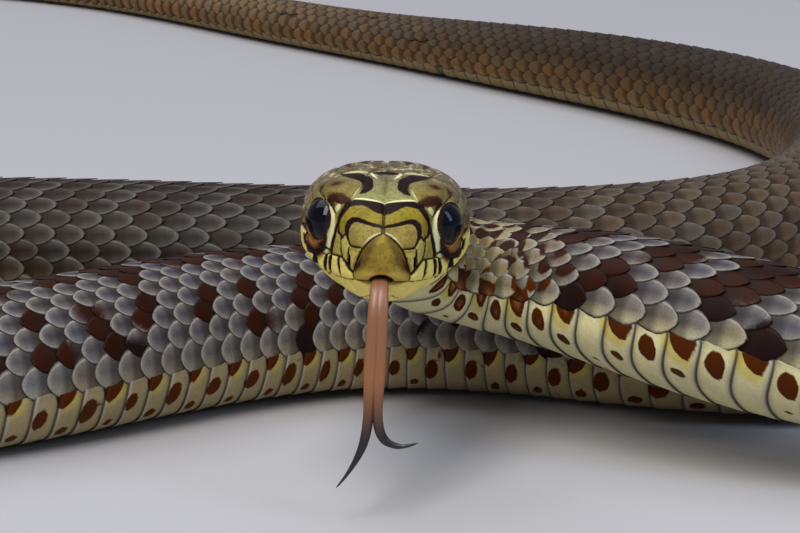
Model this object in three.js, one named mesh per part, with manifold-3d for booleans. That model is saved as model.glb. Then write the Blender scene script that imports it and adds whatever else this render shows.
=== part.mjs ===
// A young racer snake at life size, lying in loose coils on a level floor with
// its head and forebody raised and its tongue out. Millimetres, +Z up, belly on
// Z = 0, snout towards -Y. "Left" and "right" are the animal's own sides, so its
// left eye is on the +X side.

import * as THREE from 'three';
import { mergeVertices } from 'three/addons/utils/BufferGeometryUtils.js';
import Module from 'manifold-3d';

const wasm = await Module();
wasm.setup();

// ---------------------------------------------------------------- dimensions

const SIDES = 18; // faces round the body
const HEAD_SIDES = 32; // faces round the head
const RING_STEP = 5.6; // most between rings along the body
const RING_TURN = 13; // most degrees of turning between rings
const PARTING = 0.3; // gap between neighbouring pieces
const BELLY_LEVEL = 0.86; // belly's depth under the body's middle, in body radii
const FLOOR_SNAP = 0.02; // points this near the floor lie on it

// Places along the body's line, from the snout tip.
const JAW_ANGLE = 12; // corner of the mouth
const HEAD_END = 15.5;
const SKULL_END = 17; // where the head's own outline gives way to the body's
const SPOTS_END = 218; // the skin is plain behind this
const VENT = 375;

const EYE_RADIUS = 1.36;
const EYE_ACROSS = 3.25; // eye's centre from the head's middle
const EYE_BACK = 5.0; // and behind the snout tip
const EYE_RISE = 0.46; // and above the body's line

const TONGUE_WIDTH = 1.28;
const TONGUE_DEPTH = 0.72;
const TONGUE_ROOT = 0.93; // width at the root, as a share of TONGUE_WIDTH
const TINE_WIDTH = 0.56; // of the tongue's width
const TINE_DEPTH = 0.94; // of the tongue's depth
const TINE_TIP = 0.5;
const TINE_TAPER = 0.67; // share of a tine's length over which it thins
const TONGUE_CLEARANCE = 0.3;

// The body's line, snout to tail tip: control points of a cubic B-spline.
// [x, y, belly's height over the floor, body radius, roll in degrees].
// A positive roll turns the belly towards the side that T x Z points to.
const LINE = [
  [-1.13, -10.15, 11.5, 3.6, -2], // run-in, ahead of the snout
  [-1.03, -5.2, 12.2, 3.6, -2], // snout tip
  [-0.93, -0.25, 12.9, 3.6, -2], // eyes
  [-0.83, 4.7, 13.6, 3.6, -2], // back of the skull
  [-0.8, 8.9, 10.9, 3.6, 6], // nape
  [0.8, 12.8, 7.5, 3.6, 16], // neck, turning to the side and down
  [5.8, 13.8, 6.0, 3.75, 26],
  [11.5, 11, 5.1, 4.5, 33], // forebody, held clear of the floor
  [18, 6.4, 3.9, 5.05, 34],
  [26, 1.9, 3.1, 4.95, 32],
  [36, -0.6, 1.8, 4.75, 18],
  [46, 4, 0.4, 4.7, 4], // first bend, coming down to the floor
  [46.5, 14.5, 0, 4.85, 0],
  [37, 18.5, 0, 5.0, 0],
  [23, 14.5, 0, 5.1, 0], // front stretch of the trunk
  [10, 21, 0, 5.2, 0],
  [-4, 24, 0, 5.25, 0],
  [-17, 15.5, 0, 5.4, 0],
  [-30, 5, 0, 5.45, 0],
  [-45, 5.5, 0, 5.5, 0], // second bend
  [-54, 17, 0, 5.5, 0],
  [-51, 31, 0, 5.5, 0],
  [-39, 39.5, 0, 5.5, 0],
  [-24, 40.5, 0, 5.4, 0], // middle stretch
  [-6, 38, 0, 5.3, 0],
  [11, 38, 0, 5.15, 0],
  [26, 45, 0, 4.95, 0],
  [33, 60, 0, 4.7, 0], // third bend, wide
  [37, 77, 0, 4.5, 0],
  [34.5, 94, 0, 4.25, 0],
  [24.5, 110, 0, 3.95, 0], // rear stretch
  [11, 124.5, 0, 3.45, 0],
  [-1, 138, 0, 2.65, 0], // tail
  [-14, 151, 0, 2.5, 0],
  [-28, 167.5, 0, 2.2, 0],
  [-43, 178, 0, 1.85, 0],
  [-58, 181, 0, 1.5, 0],
  [-73, 179, 0, 1.05, 0],
  [-87, 173, 0, 0.42, 0],
  [-100, 166, 0, 0, 0], // run-out, behind the tail tip
];

// The head's outline. Each row is [distance from the snout tip, half width,
// crown above the line, throat below it, level of the widest point, squareness
// of the upper half, squareness of the lower half]. 2 is a plain ellipse.
const HEAD = [
  [0, 2.25, 1.8, 3.15, -0.45, 2.3, 2.2],
  [1.5, 2.42, 1.9, 3.35, -0.5, 2.8, 2.3],
  [3, 2.98, 2.38, 3.6, -0.7, 3.6, 2.6],
  [5, 4.08, 2.68, 3.78, -0.8, 4.8, 3.0],
  [7, 4.78, 2.78, 3.85, -1.0, 3.4, 2.9],
  [9.5, 5.08, 2.8, 3.85, -1.1, 2.6, 2.6],
  [12, 4.72, 3.03, 3.78, -0.6, 2.1, 2.3],
  [14.5, 3.9, 3.45, 3.6, -0.1, 2.0, 2.0],
  [SKULL_END, 3.6, 3.6, 3.6, 0, 2.0, 2.0],
];
const SNOUT_TIP_LEVEL = -0.2;
const SNOUT_ROUNDING = { length: 2.2, power: 2.6 };
const CHIN_ROUNDING = { length: 2.6, power: 2.2 };
const TAIL_ROUNDING = { length: 1.4, power: 2 };
const TAIL_TIP_RINGS = [0.9, 0.35, 0.05]; // from the tip
const NOSE_RINGS = [0.004, 0.03, 0.1, 0.24, 0.45, 0.75, 1.15, 1.6];
const HEAD_STEP = 0.62; // between the head's other rings

// The mouth's edge: [distance from the snout tip, level].
const MOUTH = [
  [-1, -1.3],
  [0, -1.38],
  [1, -1.68],
  [2, -2.0],
  [3.3, -2.36],
  [4.6, -2.56],
  [6, -2.6],
  [8, -2.5],
  [10, -2.25],
  [JAW_ANGLE, -1.8],
  [JAW_ANGLE + 1, -1.6],
];

// The tongue leaves the notch under the snout, hangs down and forks. Control
// points [x, y, z] of B-splines, each with one run-in and one run-out point.
const TONGUE_SHAFT = [
  [-1.1, -1.4, 13.7],
  [-1.12, -2.8, 13.8],
  [-1.15, -4.3, 13.9],
  [-1.2, -5.65, 13.5],
  [-1.27, -6.25, 12.2],
  [-1.36, -6.4, 10.5],
  [-1.46, -6.4, 8.8],
  [-1.55, -6.35, 7.1],
  [-1.63, -6.3, 5.6],
  [-1.68, -6.3, 4.2],
];
const TONGUE_TINES = [
  [
    [-1.8, -6.3, 7.3],
    [-1.86, -6.3, 6.3],
    [-1.92, -6.33, 5.2],
    [-2.3, -6.4, 4.1],
    [-3.0, -6.6, 2.95],
    [-3.7, -6.85, 2.15],
    [-4.4, -7.1, 1.5],
  ],
  [
    [-1.35, -6.3, 7.3],
    [-1.38, -6.3, 6.3],
    [-1.25, -6.33, 5.2],
    [-0.6, -6.35, 4.6],
    [0.2, -6.5, 4.5],
    [1.05, -6.8, 4.85],
    [1.8, -7.1, 5.4],
  ],
];

// The nodes along the body, each from the end of the one before.
const LENGTHS = [
  ['neck', 30],
  ['forebody', 56],
  ['first_bend', 92],
  ['trunk_front', 148],
  ['second_bend_front', 182],
  ['second_bend_rear', 218],
  ['trunk_middle', 272],
  ['third_bend_front', 311],
  ['third_bend_rear', 348],
  ['trunk_rear', VENT],
  ['tail_base', 410],
  ['tail_middle', 448],
  ['tail_tip', Infinity],
];

// ----------------------------------------------------------------- materials

const FINISH = {
  head: { color: 0xa8984a, roughness: 0.42, metalness: 0 },
  jaw: { color: 0xc2b778, roughness: 0.42, metalness: 0 },
  eye: { color: 0x0b0c10, roughness: 0.06, metalness: 0 },
  tongue: { color: 0xa06a4e, roughness: 0.35, metalness: 0 },
  spotted: { color: 0x7c6f68, roughness: 0.45, metalness: 0 },
  plain: { color: 0x594d40, roughness: 0.5, metalness: 0 },
};

// -------------------------------------------------------------- small maths

/** Smooth curve through rows of [place, value, value ...]. */
function throughRows(rows, place) {
  const last = rows.length - 1;
  let i = 0;
  while (i < last - 1 && place > rows[i + 1][0]) i += 1;
  const slope = (k, j) => {
    const a = rows[Math.max(k - 1, 0)];
    const b = rows[Math.min(k + 1, last)];
    return (b[j] - a[j]) / (b[0] - a[0]);
  };
  const step = rows[i + 1][0] - rows[i][0];
  const t = THREE.MathUtils.clamp((place - rows[i][0]) / step, 0, 1);
  const [t2, t3] = [t * t, t * t * t];
  return rows[i].slice(1).map((value, k) => (
    (2 * t3 - 3 * t2 + 1) * value
    + (t3 - 2 * t2 + t) * step * slope(i, k + 1)
    + (3 * t2 - 2 * t3) * rows[i + 1][k + 1]
    + (t3 - t2) * step * slope(i + 1, k + 1)
  ));
}

/** Point of a uniform cubic B-spline; u runs from 0 to points.length - 3. */
function bSpline(points, u) {
  const i = THREE.MathUtils.clamp(Math.floor(u), 0, points.length - 4);
  const t = u - i;
  const weights = [
    (1 - t) ** 3 / 6,
    (3 * t ** 3 - 6 * t ** 2 + 4) / 6,
    (-3 * t ** 3 + 3 * t ** 2 + 3 * t + 1) / 6,
    t ** 3 / 6,
  ];
  return points[0].map((_, k) => (
    weights.reduce((sum, weight, j) => sum + weight * points[i + j][k], 0)
  ));
}

/** How full a rounded end is at a distance from its tip. */
function rounding(distance, { length, power }) {
  if (distance >= length) return 1;
  return (1 - (1 - Math.max(distance, 0) / length) ** power) ** (1 / power);
}

// ------------------------------------------------------------ the body's line

/** Centre of the body at spline parameter u. */
function lineCentre(u) {
  const [x, y, lift, radius] = bSpline(LINE, u);
  return new THREE.Vector3(x, y, lift + BELLY_LEVEL * radius);
}

const SPAN_SAMPLES = 24;
const runLengths = [0];
for (let i = 1; i <= (LINE.length - 3) * SPAN_SAMPLES; i += 1) {
  const step = lineCentre(i / SPAN_SAMPLES).distanceTo(lineCentre((i - 1) / SPAN_SAMPLES));
  runLengths.push(runLengths[i - 1] + step);
}
const BODY_LENGTH = runLengths[runLengths.length - 1];

/** Spline parameter at a distance along the body. */
function lineParameter(s) {
  let [low, high] = [0, runLengths.length - 1];
  while (high - low > 1) {
    const middle = (low + high) >> 1;
    if (runLengths[middle] <= s) low = middle;
    else high = middle;
  }
  const part = (s - runLengths[low]) / (runLengths[high] - runLengths[low]);
  return (low + THREE.MathUtils.clamp(part, 0, 1)) / SPAN_SAMPLES;
}

/** The body's place, directions, radius and roll at a distance s. */
function frameAt(s) {
  const u = lineParameter(s);
  const nudge = 0.02;
  const centre = lineCentre(u);
  const end = LINE.length - 3;
  const ahead = lineCentre(Math.min(u + nudge, end));
  const along = ahead.sub(lineCentre(Math.max(u - nudge, 0))).normalize();
  const side = new THREE.Vector3().crossVectors(along, new THREE.Vector3(0, 0, 1)).normalize();
  const up = new THREE.Vector3().crossVectors(side, along);
  const [, , , radius, roll] = bSpline(LINE, u);
  const angle = THREE.MathUtils.degToRad(roll);
  side.applyAxisAngle(along, -angle);
  up.applyAxisAngle(along, -angle);
  return { centre, along, side, up, radius };
}

/** Place of a point given across and above the body's line at s. */
function onBody(frame, across, rise) {
  const place = frame.centre.clone().addScaledVector(frame.side, across);
  place.addScaledVector(frame.up, rise);
  if (Math.abs(place.z) < FLOOR_SNAP) place.z = 0;
  return place;
}

/** Outline of head or body at s, at an angle from the back's mid-line. */
function outline(s, radius, angle) {
  let [half, crown, throat, level, upper, lower] = [radius, radius, radius, 0, 2, 2];
  let tip = 0;
  let full = rounding(BODY_LENGTH - s, TAIL_ROUNDING);
  let fullBelow = full;
  if (s < SKULL_END) {
    [half, crown, throat, level, upper, lower] = throughRows(HEAD, s);
    tip = SNOUT_TIP_LEVEL;
    full = rounding(s, SNOUT_ROUNDING);
    fullBelow = rounding(s, CHIN_ROUNDING);
  }
  const isUpper = Math.cos(angle) >= 0;
  const power = isUpper ? upper : lower;
  const reach = isUpper ? crown - level : throat + level;
  const across = Math.abs(Math.sin(angle)) / half;
  const rise = Math.abs(Math.cos(angle)) / reach;
  const distance = (across ** power + rise ** power) ** (-1 / power);
  const downwards = Math.max(-Math.cos(angle), 0);
  const shrink = THREE.MathUtils.lerp(full, fullBelow, downwards);
  const height = tip + (level + distance * Math.cos(angle) - tip) * shrink;
  const flatness = THREE.MathUtils.smoothstep(s, JAW_ANGLE, SKULL_END);
  const belly = THREE.MathUtils.lerp(throat, BELLY_LEVEL * radius, flatness);
  return [
    distance * Math.sin(angle) * shrink,
    s < JAW_ANGLE ? height : Math.max(height, -belly),
  ];
}

// -------------------------------------------------------------------- solids

/** Closed geometry through rings of equal point counts, capped at both ends. */
function loft(rings) {
  const count = rings[0].length;
  const hubs = [rings[0], rings.at(-1)].map((ring) => (
    ring.reduce((sum, p) => sum.add(p), new THREE.Vector3()).divideScalar(count)
  ));
  const points = [...rings.flat(), ...hubs];
  const [firstHub, lastHub] = [points.length - 2, points.length - 1];
  const faces = [];
  for (let i = 0; i < rings.length - 1; i += 1) {
    for (let j = 0; j < count; j += 1) {
      const [a, b] = [i * count + j, i * count + (j + 1) % count];
      faces.push(a, b, a + count, b, b + count, a + count);
    }
  }
  const lastRing = (rings.length - 1) * count;
  for (let j = 0; j < count; j += 1) {
    const next = (j + 1) % count;
    faces.push(firstHub, next, j);
    faces.push(lastHub, lastRing + j, lastRing + next);
  }
  const geometry = new THREE.BufferGeometry();
  const coordinates = points.flatMap((p) => p.toArray());
  geometry.setAttribute('position', new THREE.Float32BufferAttribute(coordinates, 3));
  geometry.setIndex(faces);
  return geometry;
}

/** How many steps a length needs for its run and its turning. */
function ringSteps(from, to) {
  const stride = 1;
  let turning = 0;
  for (let s = from; s + stride < to; s += stride) {
    turning += frameAt(s).along.angleTo(frameAt(s + stride).along);
  }
  const byTurning = THREE.MathUtils.radToDeg(turning) / RING_TURN;
  return Math.max(2, Math.ceil((to - from) / RING_STEP), Math.ceil(byTurning));
}

/** A length of the body between two distances along its line. */
function bodyLength(from, to) {
  const steps = ringSteps(from, to);
  const places = Array.from({ length: steps + 1 }, (_, i) => (
    THREE.MathUtils.lerp(from, to, i / steps)
  ));
  if (to === BODY_LENGTH) places.splice(-1, 1, ...TAIL_TIP_RINGS.map((back) => to - back));
  return loft(places.map((s) => bodyRing(s, SIDES)));
}

/** One ring of points round the head or body. */
function bodyRing(s, sides) {
  const frame = frameAt(s);
  return Array.from({ length: sides }, (_, j) => {
    const angle = ((j + 0.5) / sides) * Math.PI * 2;
    return onBody(frame, ...outline(s, frame.radius, angle));
  });
}

/** The head, with rings drawn together towards the blunt snout tip. */
function headLength() {
  const count = Math.round((HEAD_END - NOSE_RINGS.at(-1)) / HEAD_STEP);
  const rest = Array.from({ length: count }, (_, i) => (
    THREE.MathUtils.lerp(NOSE_RINGS.at(-1), HEAD_END, (i + 1) / count)
  ));
  return loft([...NOSE_RINGS, ...rest].map((s) => bodyRing(s, HEAD_SIDES)));
}

/** Everything below the mouth's edge, moved down by a gap, as far as an end. */
function underMouth(gap, end) {
  const [wide, deep] = [8, 9];
  const places = Array.from({ length: JAW_ANGLE + 1 }, (_, i) => i - 1);
  return loft([...places, end].map((s) => {
    const frame = frameAt(Math.max(s, 0));
    frame.centre.addScaledVector(frame.along, Math.min(s, 0));
    const [level] = throughRows(MOUTH, s);
    return [[-wide, level - gap], [wide, level - gap], [wide, -deep], [-wide, -deep]]
      .map(([across, rise]) => frame.centre.clone()
        .addScaledVector(frame.side, across)
        .addScaledVector(frame.up, rise));
  }));
}

/** An oval tube along a B-spline, wide across X; sizes run over its length. */
function strap(points, widthAt, depthAt, sides, steps) {
  const end = points.length - 3;
  const at = (u) => new THREE.Vector3(...bSpline(points, u));
  return loft(Array.from({ length: steps + 1 }, (_, i) => {
    const u = (i / steps) * end;
    const along = at(Math.min(u + 0.02, end)).sub(at(Math.max(u - 0.02, 0))).normalize();
    const back = new THREE.Vector3(1, 0, 0).cross(along).normalize();
    const side = new THREE.Vector3().crossVectors(along, back);
    return Array.from({ length: sides }, (__, j) => {
      const angle = (j / sides) * Math.PI * 2;
      return at(u)
        .addScaledVector(side, Math.sin(angle) * widthAt(i / steps) / 2)
        .addScaledVector(back, Math.cos(angle) * depthAt(i / steps) / 2);
    });
  }));
}

/** A ball about a place on the head. */
function ball(radius, place, across, rings) {
  return new THREE.SphereGeometry(radius, across, rings).translate(place.x, place.y, place.z);
}

/** Geometry to a solid that can be cut and joined. */
function toSolid(geometry) {
  const bare = geometry.clone();
  bare.deleteAttribute('normal');
  bare.deleteAttribute('uv');
  const merged = mergeVertices(bare, 1e-5);
  return new wasm.Manifold(new wasm.Mesh({
    numProp: 3,
    vertProperties: new Float32Array(merged.attributes.position.array),
    triVerts: new Uint32Array(merged.index.array),
  }));
}

/** A cut or joined solid back to geometry. */
function toGeometry(solid) {
  const { vertProperties, triVerts } = solid.getMesh();
  const geometry = new THREE.BufferGeometry();
  geometry.setAttribute('position', new THREE.BufferAttribute(vertProperties, 3));
  geometry.setIndex(new THREE.BufferAttribute(triVerts, 1));
  return geometry;
}

// ------------------------------------------------------------------- assembly

const snake = new THREE.Group();

function add(name, geometry, finish) {
  const mesh = new THREE.Mesh(geometry, new THREE.MeshStandardMaterial(finish));
  mesh.name = name;
  snake.add(mesh);
}

/** The eyes' centres, animal's right first. */
function eyePlaces() {
  const frame = frameAt(EYE_BACK);
  return [-EYE_ACROSS, EYE_ACROSS].map((across) => onBody(frame, across, EYE_RISE));
}

/** The tongue as one solid: shaft and two tines, or the room it needs. */
function tongueSolid(spare) {
  const { lerp } = THREE.MathUtils;
  const width = (t) => TONGUE_WIDTH * lerp(TONGUE_ROOT, 1, Math.min(t * 2, 1)) + 2 * spare;
  const depth = () => TONGUE_DEPTH + 2 * spare;
  const shaft = toSolid(strap(TONGUE_SHAFT, width, depth, 12, 12));
  if (spare > 0) return shaft;
  const tineWidth = (t) => (
    lerp(TONGUE_WIDTH * TINE_WIDTH, TINE_TIP, Math.min(t / TINE_TAPER, 1))
  );
  const tineDepth = (t) => (
    lerp(TONGUE_DEPTH * TINE_DEPTH, TINE_TIP, Math.min(t / TINE_TAPER, 1))
  );
  return TONGUE_TINES.reduce(
    (whole, points) => whole.add(toSolid(strap(points, tineWidth, tineDepth, 8, 8))),
    shaft,
  );
}

const wholeHead = toSolid(headLength());
const eyes = eyePlaces();
const sockets = eyes.map((place) => toSolid(ball(EYE_RADIUS + PARTING, place, 18, 10)));
const tongueRoom = tongueSolid(TONGUE_CLEARANCE);
const upperHead = sockets
  .reduce((solid, socket) => solid.subtract(socket), wholeHead)
  .subtract(toSolid(underMouth(-PARTING / 2, JAW_ANGLE + PARTING / 2)))
  .subtract(tongueRoom);
const lowerJaw = wholeHead
  .intersect(toSolid(underMouth(PARTING / 2, JAW_ANGLE - PARTING / 2)))
  .subtract(tongueRoom);

add('head', toGeometry(upperHead), FINISH.head);
add('lower_jaw', toGeometry(lowerJaw), FINISH.jaw);
add('eye_right', ball(EYE_RADIUS, eyes[0], 16, 10), FINISH.eye);
add('eye_left', ball(EYE_RADIUS, eyes[1], 16, 10), FINISH.eye);
add('tongue', toGeometry(tongueSolid(0)), FINISH.tongue);

let start = HEAD_END;
for (const [name, end] of LENGTHS) {
  const stop = Math.min(end, BODY_LENGTH);
  const finish = end <= SPOTS_END ? FINISH.spotted : FINISH.plain;
  const to = stop === BODY_LENGTH ? stop : stop - PARTING / 2;
  add(name, bodyLength(start + PARTING / 2, to), finish);
  start = stop;
}

// The origin is under the middle of the model, on the floor.
const box = new THREE.Box3().setFromObject(snake);
const middle = box.getCenter(new THREE.Vector3());
snake.position.set(-middle.x, -middle.y, -box.min.z);

export default snake;
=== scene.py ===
"""Young racer snake: skin, scales, belly plates, eyes, tongue and stage.

Sizes in the tables and functions are millimetres, in the body's own line: s runs
from the snout tip to the tail tip, and an angle runs round the body from the
middle of the back, plus towards the animal's left at the head. Meshes are made in
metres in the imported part's frame.
"""

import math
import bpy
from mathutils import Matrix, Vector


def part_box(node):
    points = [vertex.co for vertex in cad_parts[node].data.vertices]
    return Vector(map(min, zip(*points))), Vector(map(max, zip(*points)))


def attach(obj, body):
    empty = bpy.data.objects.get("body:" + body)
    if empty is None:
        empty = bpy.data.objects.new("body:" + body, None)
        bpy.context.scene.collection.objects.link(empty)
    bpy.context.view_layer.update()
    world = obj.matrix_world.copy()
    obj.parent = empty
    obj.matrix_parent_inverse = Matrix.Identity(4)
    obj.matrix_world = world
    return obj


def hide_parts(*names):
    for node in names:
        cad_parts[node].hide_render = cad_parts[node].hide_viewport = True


bl_info = {
    "name": "Young Racer Snake",
    "version": (1, 0, 0),
    "blender": (4, 5, 0),
    "location": "View3D > Sidebar > Snake",
    "description": "Builds the skin, scales, plates, eyes and tongue of a young racer snake",
    "category": "Object",
}

from types import SimpleNamespace

import bmesh
import bpy
import numpy as np
from mathutils import Matrix, Vector
from mathutils.bvhtree import BVHTree

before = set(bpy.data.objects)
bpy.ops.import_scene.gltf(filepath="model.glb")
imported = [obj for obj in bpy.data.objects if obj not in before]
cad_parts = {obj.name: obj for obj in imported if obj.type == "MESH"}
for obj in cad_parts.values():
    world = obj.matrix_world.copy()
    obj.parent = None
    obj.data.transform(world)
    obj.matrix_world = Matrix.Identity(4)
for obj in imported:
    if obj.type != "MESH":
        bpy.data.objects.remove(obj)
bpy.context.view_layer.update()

# ------------------------------------------------------------------ the body

SPAN_SAMPLES = 24
NUDGE = 0.02  # step along the line's table that gives its direction
BELLY_LEVEL = 0.86
JAW_ANGLE = 12.0
SKULL_END = 17.0
VENT = 375.0
NODES_OF_FLESH = (
    "head", "lower_jaw", "neck", "forebody", "first_bend", "trunk_front",
    "second_bend_front", "second_bend_rear", "trunk_middle", "third_bend_front",
    "third_bend_rear", "trunk_rear", "tail_base", "tail_middle", "tail_tip",
)

# Control points of the body's line: x, y, belly over the floor, radius, roll in degrees.
LINE = np.array([
    (-1.13, -10.15, 11.5, 3.6, -2), (-1.03, -5.2, 12.2, 3.6, -2),
    (-0.93, -0.25, 12.9, 3.6, -2), (-0.83, 4.7, 13.6, 3.6, -2),
    (-0.8, 8.9, 10.9, 3.6, 6), (0.8, 12.8, 7.5, 3.6, 16),
    (5.8, 13.8, 6.0, 3.75, 26), (11.5, 11, 5.1, 4.5, 33),
    (18, 6.4, 3.9, 5.05, 34), (26, 1.9, 3.1, 4.95, 32),
    (36, -0.6, 1.8, 4.75, 18), (46, 4, 0.4, 4.7, 4),
    (46.5, 14.5, 0, 4.85, 0), (37, 18.5, 0, 5.0, 0),
    (23, 14.5, 0, 5.1, 0), (10, 21, 0, 5.2, 0),
    (-4, 24, 0, 5.25, 0), (-17, 15.5, 0, 5.4, 0),
    (-30, 5, 0, 5.45, 0), (-45, 5.5, 0, 5.5, 0),
    (-54, 17, 0, 5.5, 0), (-51, 31, 0, 5.5, 0),
    (-39, 39.5, 0, 5.5, 0), (-24, 40.5, 0, 5.4, 0),
    (-6, 38, 0, 5.3, 0), (11, 38, 0, 5.15, 0),
    (26, 45, 0, 4.95, 0), (33, 60, 0, 4.7, 0),
    (37, 77, 0, 4.5, 0), (34.5, 94, 0, 4.25, 0),
    (24.5, 110, 0, 3.95, 0), (11, 124.5, 0, 3.45, 0),
    (-1, 138, 0, 2.65, 0), (-14, 151, 0, 2.5, 0),
    (-28, 167.5, 0, 2.2, 0), (-43, 178, 0, 1.85, 0),
    (-58, 181, 0, 1.5, 0), (-73, 179, 0, 1.05, 0),
    (-87, 173, 0, 0.42, 0), (-100, 166, 0, 0, 0),
], float)

# Head outline: s, half width, crown, throat, widest level, squareness above and below.
HEAD = np.array([
    (0, 2.25, 1.8, 3.15, -0.45, 2.3, 2.2), (1.5, 2.42, 1.9, 3.35, -0.5, 2.8, 2.3),
    (3, 2.98, 2.38, 3.6, -0.7, 3.6, 2.6), (5, 4.08, 2.68, 3.78, -0.8, 4.8, 3.0),
    (7, 4.78, 2.78, 3.85, -1.0, 3.4, 2.9), (9.5, 5.08, 2.8, 3.85, -1.1, 2.6, 2.6),
    (12, 4.72, 3.03, 3.78, -0.6, 2.1, 2.3), (14.5, 3.9, 3.45, 3.6, -0.1, 2.0, 2.0),
    (17, 3.6, 3.6, 3.6, 0, 2.0, 2.0),
], float)
SNOUT_TIP_LEVEL = -0.2
SNOUT_ROUNDING = (2.2, 2.6)
CHIN_ROUNDING = (2.6, 2.2)
TAIL_ROUNDING = (1.4, 2.0)

# The mouth's edge: s, level.
MOUTH = np.array([
    (-1, -1.3), (0, -1.38), (1, -1.68), (2, -2.0), (3.3, -2.36), (4.6, -2.56),
    (6, -2.6), (8, -2.5), (10, -2.25), (12, -1.8), (13, -1.6),
], float)

EYE_RADIUS = 1.36
EYE_PLACE = np.array((3.25, 5.0, 0.46))  # across, s, rise
EYE_FORWARD = 28.0  # degrees that the eye looks ahead of sideways
EYE_UP = 11.0  # degrees that the eye looks above the level
EYE_OPENING = 58.5  # degrees from the eye's axis to the edge of its clear cap
EYE_WIDER = 7.0  # degrees more towards the snout

TONGUE_SHAFT = np.array([
    (-1.1, -1.4, 13.7), (-1.12, -2.8, 13.8), (-1.15, -4.3, 13.9), (-1.2, -5.65, 13.5),
    (-1.27, -6.25, 12.2), (-1.36, -6.4, 10.5), (-1.46, -6.4, 8.8), (-1.55, -6.35, 7.1),
])
TONGUE_TINES = (
    np.array([(-1.92, -6.33, 5.2), (-2.3, -6.4, 4.1), (-3.0, -6.6, 2.95),
              (-3.7, -6.85, 2.15), (-4.4, -7.1, 1.5)]),
    np.array([(-1.25, -6.33, 5.2), (-0.6, -6.35, 4.6), (0.2, -6.5, 4.5),
              (1.05, -6.8, 4.85), (1.8, -7.1, 5.4)]),
)

VENTRAL_EDGE = 113.0  # degrees from the back's middle to the belly plates' upper edge
FIRST_PLATE = 16.0  # s of the first belly plate

# Widths of the scale rows from the middle of the back down, and where each row ends.
ROW_WIDTHS = np.array((1.0, 1.0, 1.0, 1.0, 1.0, 1.02, 1.06, 1.2, 1.42))
ROW_ENDS = np.array((999.0, 456.0, 384.0, 412.0, 300.0, 396.0, 376.0, 432.0, 999.0))
ROW_FADE = 6.0


def spline(rows, u):
    """Points of a uniform cubic B-spline with a table's rows as control points."""
    u = np.atleast_1d(np.asarray(u, float))
    i = np.clip(np.floor(u).astype(int), 0, len(rows) - 4)
    t = (u - i)[:, None]
    weights = (
        (1 - t) ** 3 / 6,
        (3 * t ** 3 - 6 * t ** 2 + 4) / 6,
        (-3 * t ** 3 + 3 * t ** 2 + 3 * t + 1) / 6,
        t ** 3 / 6,
    )
    return sum(w * rows[i + k] for k, w in enumerate(weights))


def through_rows(rows, place):
    """Smooth curves through a table whose first column is the place."""
    x, values = rows[:, 0], rows[:, 1:]
    last = len(x) - 1
    before = np.maximum(np.arange(last + 1) - 1, 0)
    after = np.minimum(np.arange(last + 1) + 1, last)
    slopes = (values[after] - values[before]) / (x[after] - x[before])[:, None]
    i = np.clip(np.searchsorted(x, place) - 1, 0, last - 1)
    step = (x[i + 1] - x[i])[:, None]
    t = np.clip((place - x[i])[:, None] / step, 0, 1)
    return (
        (2 * t ** 3 - 3 * t ** 2 + 1) * values[i] + (t ** 3 - 2 * t ** 2 + t) * step * slopes[i]
        + (3 * t ** 2 - 2 * t ** 3) * values[i + 1] + (t ** 3 - t ** 2) * step * slopes[i + 1]
    )


def smooth(low, high, value):
    """0 below low, 1 above high, an S curve between."""
    t = np.clip((np.asarray(value, float) - low) / (high - low), 0, 1)
    return t * t * (3 - 2 * t)


def unit(vectors):
    """Rows of vectors brought to a length of 1."""
    return vectors / np.linalg.norm(vectors, axis=1)[:, None]


def rounding(distance, shape):
    """How full a rounded end is at a distance from its tip."""
    length, power = shape
    t = np.clip(distance / length, 0, 1)
    return (1 - (1 - t) ** power) ** (1 / power)


def pattern_twist(s):
    """Degrees that scales and marks sit round the body where it lies rolled over."""
    return 18.0 * smooth(50, 66, s) * (1 - smooth(152, 178, s))


def line_centre(u):
    """Centres of the body at places u of the line's table."""
    row = spline(LINE, u)
    return np.c_[row[:, 0], row[:, 1], row[:, 2] + BELLY_LEVEL * row[:, 3]]


LINE_END = len(LINE) - 3
RUN_STEPS = np.arange(LINE_END * SPAN_SAMPLES + 1) / SPAN_SAMPLES
RUN_GAPS = np.diff(line_centre(RUN_STEPS), axis=0)
RUN_LENGTHS = np.r_[0, np.cumsum(np.linalg.norm(RUN_GAPS, axis=1))]
BODY_LENGTH = RUN_LENGTHS[-1]


def radius_at(s):
    """The body's radius at distances s."""
    return spline(LINE, np.interp(s, RUN_LENGTHS, RUN_STEPS))[:, 3]


def frames_at(s):
    """Centre, along, side and up directions and radius of the body at distances s."""
    u = np.interp(s, RUN_LENGTHS, RUN_STEPS)
    ahead, behind = np.minimum(u + NUDGE, LINE_END), np.maximum(u - NUDGE, 0)
    along = line_centre(ahead) - line_centre(behind)
    along = unit(along)
    side = unit(np.cross(along, (0, 0, 1)))
    up = np.cross(side, along)
    row = spline(LINE, u)
    roll = np.radians(row[:, 4])[:, None]
    turned_side = side * np.cos(roll) - np.cross(along, side) * np.sin(roll)
    turned_up = up * np.cos(roll) - np.cross(along, up) * np.sin(roll)
    return line_centre(u), along, turned_side, turned_up, row[:, 3]


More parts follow.
